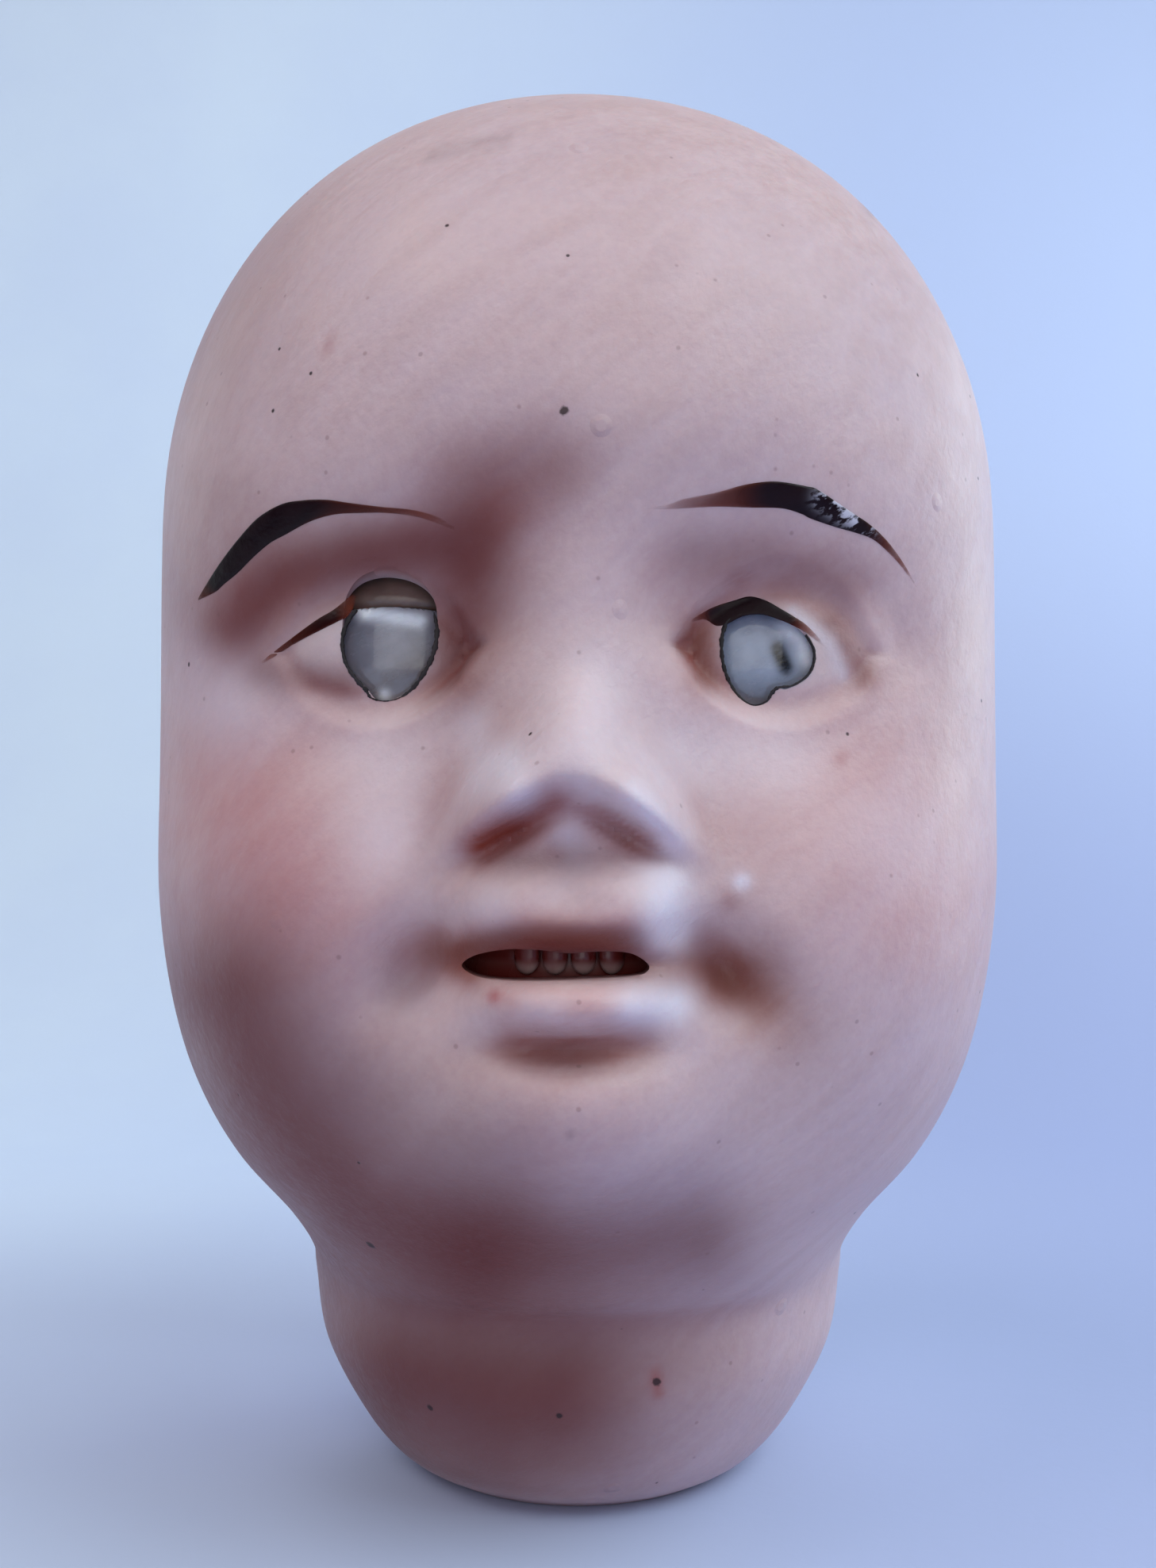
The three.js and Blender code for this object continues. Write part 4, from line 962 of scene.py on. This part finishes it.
# The casting
def eye_centre(side):
    """The middle of the ball on a side, where both eyes also turn."""
    return side * EYE_X, EYE_Y, EYE_HEIGHT


def make_inside():
    """The hollow of the head, held back behind the nose side of each eye's front."""
    caps, before = [], -40
    for side in SIDES.values():
        reach = sorted((0, side * (EYE_X + PAD_INSET - SEAT_GAP)))
        box = box_object("front", (reach[0], before, 0),
                         (reach[1], EYE_Y - CAP_BACK, HEAD_HEIGHT))
        cap = ball_object("cap", SCLERA, eye_centre(side))
        caps.append(("DIFFERENCE", carved(cap, ("INTERSECT", box))))
    return carved(head_form("inside", WALL, floor=NECK_FLOOR), *caps)


MOUTH = traced(MOUTH_SLIT, 100)
SLIT_Z = MOUTH[:, 1].mean()
LIPS = face_front(np.array([FACE_LEAN]), np.array([SLIT_Z]))[0]
# The hollow behind the lips: half width, half depth and half height, and how far in it starts
MOUTH_HOLLOW = np.array([0.31, 0.2, 0.32]) * HALF_WIDTH
LIP_WALL, BEHIND_LIPS, BEND_OF_JAW = 1.5, 1.8, 14


def make_head():
    """The hollow casting with its ears, crown and neck openings, eyes and mouth cut through."""
    head = head_form("bisque_head", 0, FINE, sculpted=True)
    through, axis = 5, 0.001
    rim = np.array([[axis, -through], [NECK_HOLE, -through], [NECK_HOLE, through],
                    [axis, through]])
    hollow = ball_object("mouth_hollow", 1, (0, 0, 0), 40, 60)
    middle = (FACE_LEAN, MOUTH_HOLLOW[1] + LIP_WALL - LIPS, SLIT_Z)
    hollow.data.transform(Matrix.Translation(middle) @ Matrix.Diagonal((*MOUTH_HOLLOW, 1)))
    cuts = [make_inside(), above_crown("crown", 0), turned_object("neck_hole", rim, 120)]
    for name, side in SIDES.items():
        cuts += [ball_object("pocket", POCKET, eye_centre(side)),
                 prism_through_face("opening", traced(EYE_OPENINGS[name], 120))]
    cuts += [prism_through_face("slit", MOUTH), hollow]
    return carved(head, *[("UNION", ear_object("ear", side)) for side in (1, -1)],
                  *[("DIFFERENCE", cut) for cut in cuts])


head = make_head()
paint_face(head.data)
finished(head, bisque, "head", "head_shell", sharp=40)
for name, stroke in ENAMEL.items():
    finished(enamel_stroke(name, *stroke), enamel, "head", sharp=180)


# The eyes
def make_glass_eye(name, side, lid_edge):
    """A blown ball, open behind: rings from the front pole out to the back edge and home along
    the inner wall. Where the lid lies, the outer radius steps down by the wax's depth."""
    step, clearance = 0.03, 0.05
    outer = np.linspace(0.004, math.acos(-GLASS_BACK / EYEBALL), 110)
    bore = EYEBALL - GLASS_WALL
    inner = np.linspace(math.acos(-GLASS_BACK / bore), 0.02, 50)
    turn = circle(160)
    rings = []
    for polar, radius in ((outer, EYEBALL), (inner, bore)):
        s, c = np.sin(polar)[:, None], np.cos(polar)[:, None]
        unit = points_at(s * np.cos(turn), -c, s * np.sin(turn))
        pitch = np.arctan2(unit[..., 2], -unit[..., 1])
        bed = (smooth(lid_edge - step, lid_edge, pitch)
               * (1 - smooth(LID_TOP, LID_TOP + step, pitch)))
        depth = (LID_WAX + clearance) * bed * (radius == EYEBALL)
        rings.append(unit * (radius - depth)[..., None])
    return rings_object(name, np.vstack(rings) + np.array(eye_centre(side)))


def make_wax_lid(name, side, lid_edge):
    """A shell over the upper part of the glass, from the lid's edge up over the ball: rings
    across the ball from ear side to nose side, thin and rounded at the lower edge."""
    half_width, clearance, taper_angle, thinnest = 1.5, 0.008, 0.035, 0.15
    across = np.linspace(-half_width, half_width, 90)[:, None]
    pitch = np.linspace(lid_edge + clearance, LID_TOP - clearance, 90)
    thick = thinnest + (1 - thinnest) * (1 - np.exp(-(pitch - pitch[0]) / taper_angle))
    inner = EYEBALL - LID_WAX
    radius = np.concatenate([inner + LID_WAX * thick, np.full(len(pitch), inner)])
    pitch = np.concatenate([pitch, pitch[::-1]])
    c = np.cos(across)
    rings = points_at(np.sin(across) * radius, -c * np.cos(pitch) * radius,
                      c * np.sin(pitch) * radius)
    return rings_object(name, rings + np.array(eye_centre(side)))


# Strokes on the glass, painted glints among them, the pupil laid on twice, and dark lines
# along the cut edges, painted gap shadow with old grime, with their half widths
GLASS_MARKS = {
    "right": {"stain": [(26, 0.55, 490, 862, 524, 846)],
              "painted_glint": [(10, 1.0, 456, 772, 490, 776, 528, 782), (8, 0.8, 485, 877)],
              "pupil": []},
    "left": {"stain": [(14, 0.3, 930, 880, 960, 885)],
             "painted_glint": [(14, 1, 994, 788, 1010, 806, 1018, 830)],
             "pupil": [(8, 1, 980, 818, 984, 826, 990, 842)] * 2},
}
GAP_SHADE_AND_DIRT_LINES = {
    "right": ([449, 768, 437, 785, 431, 808, 435, 835, 448, 856, 461, 870, 468, 880, 485, 884,
               503, 880, 520, 868, 536, 846, 547, 822, 551, 795, 547, 772],
              [3, 5, 4.5, 4, 5, 5, 3, 1.5, 2, 5, 6, 6.5, 6, 2]),
    "left": ([935, 774, 918, 782, 910, 802, 910, 828, 915, 850, 924, 868, 936, 882, 950, 889,
              966, 884, 973, 874, 981, 867, 1000, 864, 1018, 852, 1026, 836, 1026, 818, 1016, 800],
             [3, 5, 5.5, 5, 5, 4, 2.5, 1.5, 2, 5, 4, 2.5, 2.5, 3, 2.5, 1]),
}


def gap_shade_and_dirt_line(name, line):
    """Painted shadow of the gap round the glass, with old grime in it, along the cut edge of an
    eye: a thin dark bead of uneven width.
    """
    path, widths = pairs(line[0]), np.array(line[1])[:, None]
    t = np.linspace(0, len(path) - LAST_BEFORE, 200)
    middle, half = cubic(path, t), cubic(widths, t).ravel().clip(0.5) * 0.45
    half = half * (1 + 0.25 * np.sin(t * 9.1) + 0.15 * np.sin(t * 23.7))
    along = np.gradient(middle, axis=0)
    square = np.column_stack([along[:, 1], -along[:, 0]])
    square /= np.linalg.norm(square, axis=1, keepdims=True)
    angle = circle(12)
    pixels = middle[:, None] + (half[:, None] * np.cos(angle))[..., None] * square[:, None]
    out = np.where(np.sin(angle) > 0, 0.04, 0.2) * np.sin(angle)
    return rings_object(name, on_face(*seen_at(pixels), out))


for name, side in SIDES.items():
    eye = make_glass_eye(name + "_glass_eye", side, LID_EDGES[name])
    places = points_of(eye.data)
    for mark, strokes in GLASS_MARKS[name].items():
        shown = stroke_mask(photo_pixels(places), strokes) * (places[:, 1] < EYE_Y)
        carry(eye.data, mark, shown)
    finished(eye, grey_glass if name == "right" else blue_glass, "eyes", name + "_eyeball")
    finished(make_wax_lid(name + "_tinted_lid", side, LID_EDGES[name]), wax, "eyes",
             name + "_wax_lid")
    finished(gap_shade_and_dirt_line(name + "_eye_gap_shade_and_dirt", GAP_SHADE_AND_DIRT_LINES[name]), gap_shade_and_dirt, "head", sharp=180)


# The pate
def make_pate():
    """A cork dome that carries the head's curve on, with a skirt that plugs the crown."""
    dome = carved(head_form("cork_pate", 0, SMOOTH), ("DIFFERENCE", head_form("under", PATE_WALL)),
                  ("INTERSECT", above_crown("crown", SEAT_GAP)))
    inset = WALL + SEAT_GAP
    skirt = carved(head_form("skirt", inset, floor=NECK_FLOOR),
                   ("DIFFERENCE", head_form("in", inset + SKIRT_WALL)),
                   ("INTERSECT", above_crown("low", -SKIRT_DROP)),
                   ("DIFFERENCE", above_crown("high", SKIRT_WALL)))
    pate = carved(dome, ("UNION", skirt))
    points = points_of(pate.data)
    points[:, 2] -= PATE_SETTLE * smooth(CROWN_EDGE, HEAD_HEIGHT, points[:, 2])
    pate.data.vertices.foreach_set("co", points.ravel())
    return pate


finished(make_pate(), cork, "pate", "crown_pate")


# The stringing hardware in the neck: heights of the stack, each piece a seat above the last
WIRE, BEND, TIP_RISE, HOOK_FOOT, HOOK_HEAD = 0.6, 2.0, 0.9, 0.5, 0.6
BUTTON, WASHER, WASHER_RADIUS, NUT_RADIUS, NUT = 4.8, 0.7, 3.7, 2.7, 2.2
SPRING_WIRE, SPRING_RADIUS, SPRING_LENGTH, SPRING_TURNS, CLOSED_RISE = 0.35, 2.5, 8.6, 6, 1.155
HOOK_TRAVEL, THREAD_PITCH, THREAD_DEPTH = 3.5, 0.42, 0.09
BEND_Z = HOOK_FOOT + WIRE + BEND
BUTTON_Z = BEND_Z + TIP_RISE + EYE_GAP + WIRE
WASHER_Z = BUTTON_Z + BUTTON + SEAT_GAP
SPRING_Z = WASHER_Z + WASHER + SEAT_GAP
CAP_Z = SPRING_Z + SPRING_LENGTH + SEAT_GAP
NUT_Z = CAP_Z + WASHER + SEAT_GAP
HOOK_TOP = NUT_Z + NUT + HOOK_HEAD
BORE = WIRE + EYE_GAP


def make_neck_hook():
    """Bent wire: a straight shank, half a turn and a rounded tip. The shank's upper end is cut
    with a thread, a shallow wave that winds up it, and both ends are rounded over."""
    turn = np.linspace(0, np.pi, 40)
    shank = np.linspace(HOOK_TOP, BEND_Z, 300, endpoint=False)
    path = np.vstack([
        points_at(0, 0, shank),
        points_at(BEND * (1 - np.cos(turn)), 0, BEND_Z - BEND * np.sin(turn)),
        points_at(2 * BEND, 0, BEND_Z + TIP_RISE * np.arange(1, 13) / 12)])
    z = path[:, 2, None]
    wave = 0.5 - 0.5 * np.cos(2 * np.pi * z / THREAD_PITCH - circle(24))
    threaded = (path[:, 0, None] == 0) * smooth(CAP_Z - 2.4, CAP_Z - 2, z)
    run = np.concatenate([[0], np.cumsum(np.linalg.norm(np.diff(path, axis=0), axis=1))])
    end = np.minimum(run, run[-1] - run)[:, None]
    radius = WIRE - 0.22 * (1 - smooth(0, 0.3, end)) - THREAD_DEPTH * wave * threaded
    return tube_object("stringing_hook", path, radius, 24)


def spring_middle(t):
    """Middle line of the spring: even turns that close up over the first and the last one."""
    turns = t * SPRING_TURNS
    pitch = (SPRING_LENGTH - 2 * SPRING_WIRE - 2 * CLOSED_RISE) / (SPRING_TURNS - 2)
    rise = np.minimum(turns, 1) * CLOSED_RISE + np.clip(turns - 1, 0, SPRING_TURNS - 2) * pitch \
        + np.maximum(turns + 1 - SPRING_TURNS, 0) * CLOSED_RISE
    angle = turns * 2 * np.pi
    return points_at(SPRING_RADIUS * np.cos(angle), SPRING_RADIUS * np.sin(angle),
                     SPRING_Z + SPRING_WIRE + rise)


def make_washer(name, foot):
    """A pressed washer: a flat ring on a foot, with its edges rolled over."""
    edge = 0.12
    turn = np.linspace(0, np.pi / 2, 6)
    c, s = edge * np.cos(turn), edge * np.sin(turn)
    low, high = foot + edge, foot + WASHER - edge
    rim, bore = WASHER_RADIUS - edge, BORE + edge
    profile = np.vstack([
        np.column_stack([rim + c[::-1], low - s[::-1]]), np.column_stack([rim + c, high + s]),
        np.column_stack([bore - c[::-1], high + s[::-1]]), np.column_stack([bore - c, low - s])])
    return turned_object(name, profile, 96)


def make_nut():
    """A hexagon nut: six flats, whose corners a cone cuts off above and below, round a bore."""
    angle = circle(180)
    flat = NUT_RADIUS * math.cos(math.pi / 6)
    around = np.mod(angle, math.pi / 3) - math.pi / 6
    corner = flat / np.cos(around)
    low, high, cone, eased = NUT_Z, NUT_Z + NUT, 0.3, 0.2
    face, middle = np.minimum(corner, flat - 0.1), np.minimum(corner, NUT_RADIUS)
    rings = [(low, face), (low + cone, middle), (high - cone, middle), (high, face),
             (high, BORE + eased), (high - eased, BORE), (low + eased, BORE), (low, BORE + eased)]
    return rings_object("stringing_nut", np.stack([
        points_at(r * np.cos(angle), r * np.sin(angle), z) for z, r in rings]), looped=True)


def make_button():
    """A turned wooden button that fills the neck: it follows the hollow, its edges are eased
    and two fine grooves from the lathe run round its foot."""
    hollow = head_rows(WALL, 4, 20)
    z = np.linspace(BUTTON_Z, BUTTON_Z + BUTTON - WIRE, 24)
    least = hollow[:, 1:4].min(axis=1)
    running, chamfer = 0.02, 0.25
    radius = np.interp(z, hollow[:, 0], least) - SEAT_GAP - running
    radius[0] -= chamfer
    head, ease, groove_depth, groove_width = BUTTON_Z + BUTTON, 0.15, 0.12, 0.15
    top = np.interp(head, hollow[:, 0], least) - SEAT_GAP - WIRE
    foot = np.linspace(radius[0] - 0.2, BORE + 2 * ease, 60)
    groove = sum(groove_depth * np.exp(-((foot - at) / groove_width) ** 2) for at in (4.2, 5))
    profile = np.vstack([
        np.column_stack([radius, z]), [[min(top, radius[-1]), head - ease]],
        [[top - 2 * ease, head], [BORE + ease, head]],
        [[BORE, head - ease], [BORE, BUTTON_Z + 2 * ease]],
        np.column_stack([foot, BUTTON_Z + groove])[::-1]])
    return turned_object("turned_button", profile, 128)


def make_teeth():
    """Four small moulded teeth under a strip of gum, with the palate behind, bent round the jaw:
    each tooth is a stack of ovals that widens a little and rounds off at its foot."""
    front = BEHIND_LIPS - LIPS
    turn = circle(32)
    c, s = np.cos(turn), np.sin(turn)

    def bent(name, x, y, z):
        """A stack of rings whose depth follows the bend of the jaw."""
        return rings_object(name, points_at(FACE_LEAN + x, front + y + x**2 / BEND_OF_JAW,
                                            SLIT_Z + z))

    pieces, count, pitch, top, length, middle = [], 4, 1.3, 1.3, 1.9, 0.55
    half_width, widening, half_depth, rounded_from = 0.56, 0.06, 0.5, 0.55
    t = np.linspace(0, 1, 24)[:, None]
    size = np.sqrt(np.maximum(1 - np.maximum(t - rounded_from, 0) ** 2 / 0.205, 0.01))
    for k in range(count):
        x = pitch * (k - (count - 1) / 2) + (half_width + widening * t) * size * c
        tooth = bent("tooth", x, middle + half_depth * size * s, top - length * t)
        pieces.append(("UNION", tooth))
    x = np.linspace(-6.2, 5.2, 40)[:, None]
    palate = bent("palate", x, 1.2 + 0.3 * c, 0.2 + 1.9 * s * (1 - (x / 8) ** 2))
    x = np.linspace(-2.55, 2.55, 30)[:, None]
    gum = bent("moulded_teeth", x, middle + 0.53 * c, 1.55 + 0.75 * s)
    teeth = carved(gum, *pieces, ("UNION", palate))
    x, y, z = points_of(teeth.data).T
    # Gum red behind the teeth and on the gum, and as painted shade on the teeth above the slit
    deep = smooth(0.7, 0.95, y - front - (x - FACE_LEAN) ** 2 / BEND_OF_JAW)
    carry(teeth.data, "gum", np.maximum(deep, smooth(-0.35, 0.15, z - SLIT_Z)))
    return teeth


finished(make_neck_hook(), iron, "hook", "neck_hook")
spring_path = spring_middle(np.linspace(0, 1, SPRING_TURNS * 48 + 1))
spring = tube_object("pull_spring", spring_path, SPRING_WIRE, 16, across=(0, 0, 1))
finished(spring, iron, "swivel", "hook_spring")
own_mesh(spring)
finished(make_washer("pressed_washer", WASHER_Z), iron, "swivel", "thrust_washer")
finished(make_washer("pressed_cap", CAP_Z), iron, "hook", "spring_cap")
finished(make_nut(), iron, "hook", "hook_nut")
finished(make_button(), beech, "head", "neck_button")
finished(make_teeth(), tooth, "head", "upper_teeth")


# The studio
COOL, WARM = (0.82, 0.97, 1), (0.95, 0.945, 0.95)
LAMPS_AIM = Vector((0, AXIS_Y - 0.01, 0.045))


def placed(name, data, place):
    """A new object of the studio at a place counted from the neck's axis, in metres."""
    thing = bpy.data.objects.new(name, data)
    thing.location = (place[0], place[1] + AXIS_Y, place[2])
    bpy.context.collection.objects.link(thing)
    return thing


# Square lamps: place, power in watts and colour
for name, place, power, colour in (
        ("key", (0.16, -0.2, 0.4), 0.52, COOL), ("right", (0.3, -0.15, 0.34), 0.98, COOL),
        ("left", (-0.2, -0.15, 0.4), 0.74, WARM), ("right_rim", (0.35, 0.15, 0.12), 0.86, COOL),
        ("left_rim", (-0.35, 0.12, 0.16), 0.15, COOL), ("front", (0, -0.4, 0.12), 0.42, WARM)):
    lamp = bpy.data.lights.new(name, "AREA")
    lamp.size, lamp.energy, lamp.color = 0.3, power, colour
    holder = placed(name, lamp, place)
    holder.rotation_euler = (LAMPS_AIM - holder.location).to_track_quat("-Z", "Y").to_euler()
world = bpy.data.worlds.new("room")
world.use_nodes = True
room = world.node_tree
seen = node(room, "LightPath").outputs["Is Camera Ray"]
backdrop = room.nodes["Background"]
room.links.new(ranged(room, seen, 0.0, 1.0, 0.01, 0.6), backdrop.inputs["Strength"])
backdrop.inputs["Color"].default_value = (0.75, 0.8, 1, 1)
bpy.context.scene.world = world

camera = bpy.data.cameras.new("camera")
camera.lens = camera.sensor_width * FOCAL / PHOTO_HEIGHT
camera.clip_start = 0.005
holder = placed("camera", camera, EYE_POINT / MM_IN_METRE)
holder.rotation_euler = (math.pi / 2 + TILT_UP, 0, 0)
bpy.context.scene.camera = holder
bpy.context.scene.view_settings.view_transform = "Standard"


def make_card():
    """Pale blue card, faintly clouded, with painted shadow: a little darker to the right, and low
    down, where it is darkest at the right."""
    look = Surface("studio_card")
    clouds = look.clouds(0.05)
    look.base(look.maths("MULTIPLY", clouds, 0.35), (228, 238, 255), (216, 226, 252))
    place = node(look.tree, "SeparateXYZ", {0: node(look.tree, "TexCoord").outputs["Object"]})
    # Painted shadow: darker to the right, and most of all low down at the right
    right = look.eased(place.outputs[0], 0.0, 1.0, -0.1, 0.1)
    look.lay(right, (200, 210, 242))
    low = look.eased(place.outputs[2], 1.0, 0.0, 0.0, 0.16)
    look.lay(look.maths("MULTIPLY", low, look.eased(right, 0.1, 0.65)), (150, 158, 206))
    return look.done(0.85, 0.001, 0.00002, clouds)


def make_sweep():
    """A floor that rises behind in one long curve: a level, a quarter turn and a wall."""
    turn = np.linspace(0, np.pi / 2, 24)
    reach, bend = 0.26, 0.16
    y = np.concatenate([[-0.9], reach - bend + bend * np.sin(turn), [reach]])
    z = np.concatenate([[0], bend - bend * np.cos(turn), [1.0]])
    points = points_at([-1.2, 1.2], y[:, None], z[:, None]).reshape(-1, 3)
    i = np.arange(len(y) - 1) * 2
    sweep = new_object("studio_sweep", points, np.stack([i, i + 1, i + 3, i + 2], -1).tolist())
    sweep.data.materials.append(make_card())


make_sweep()
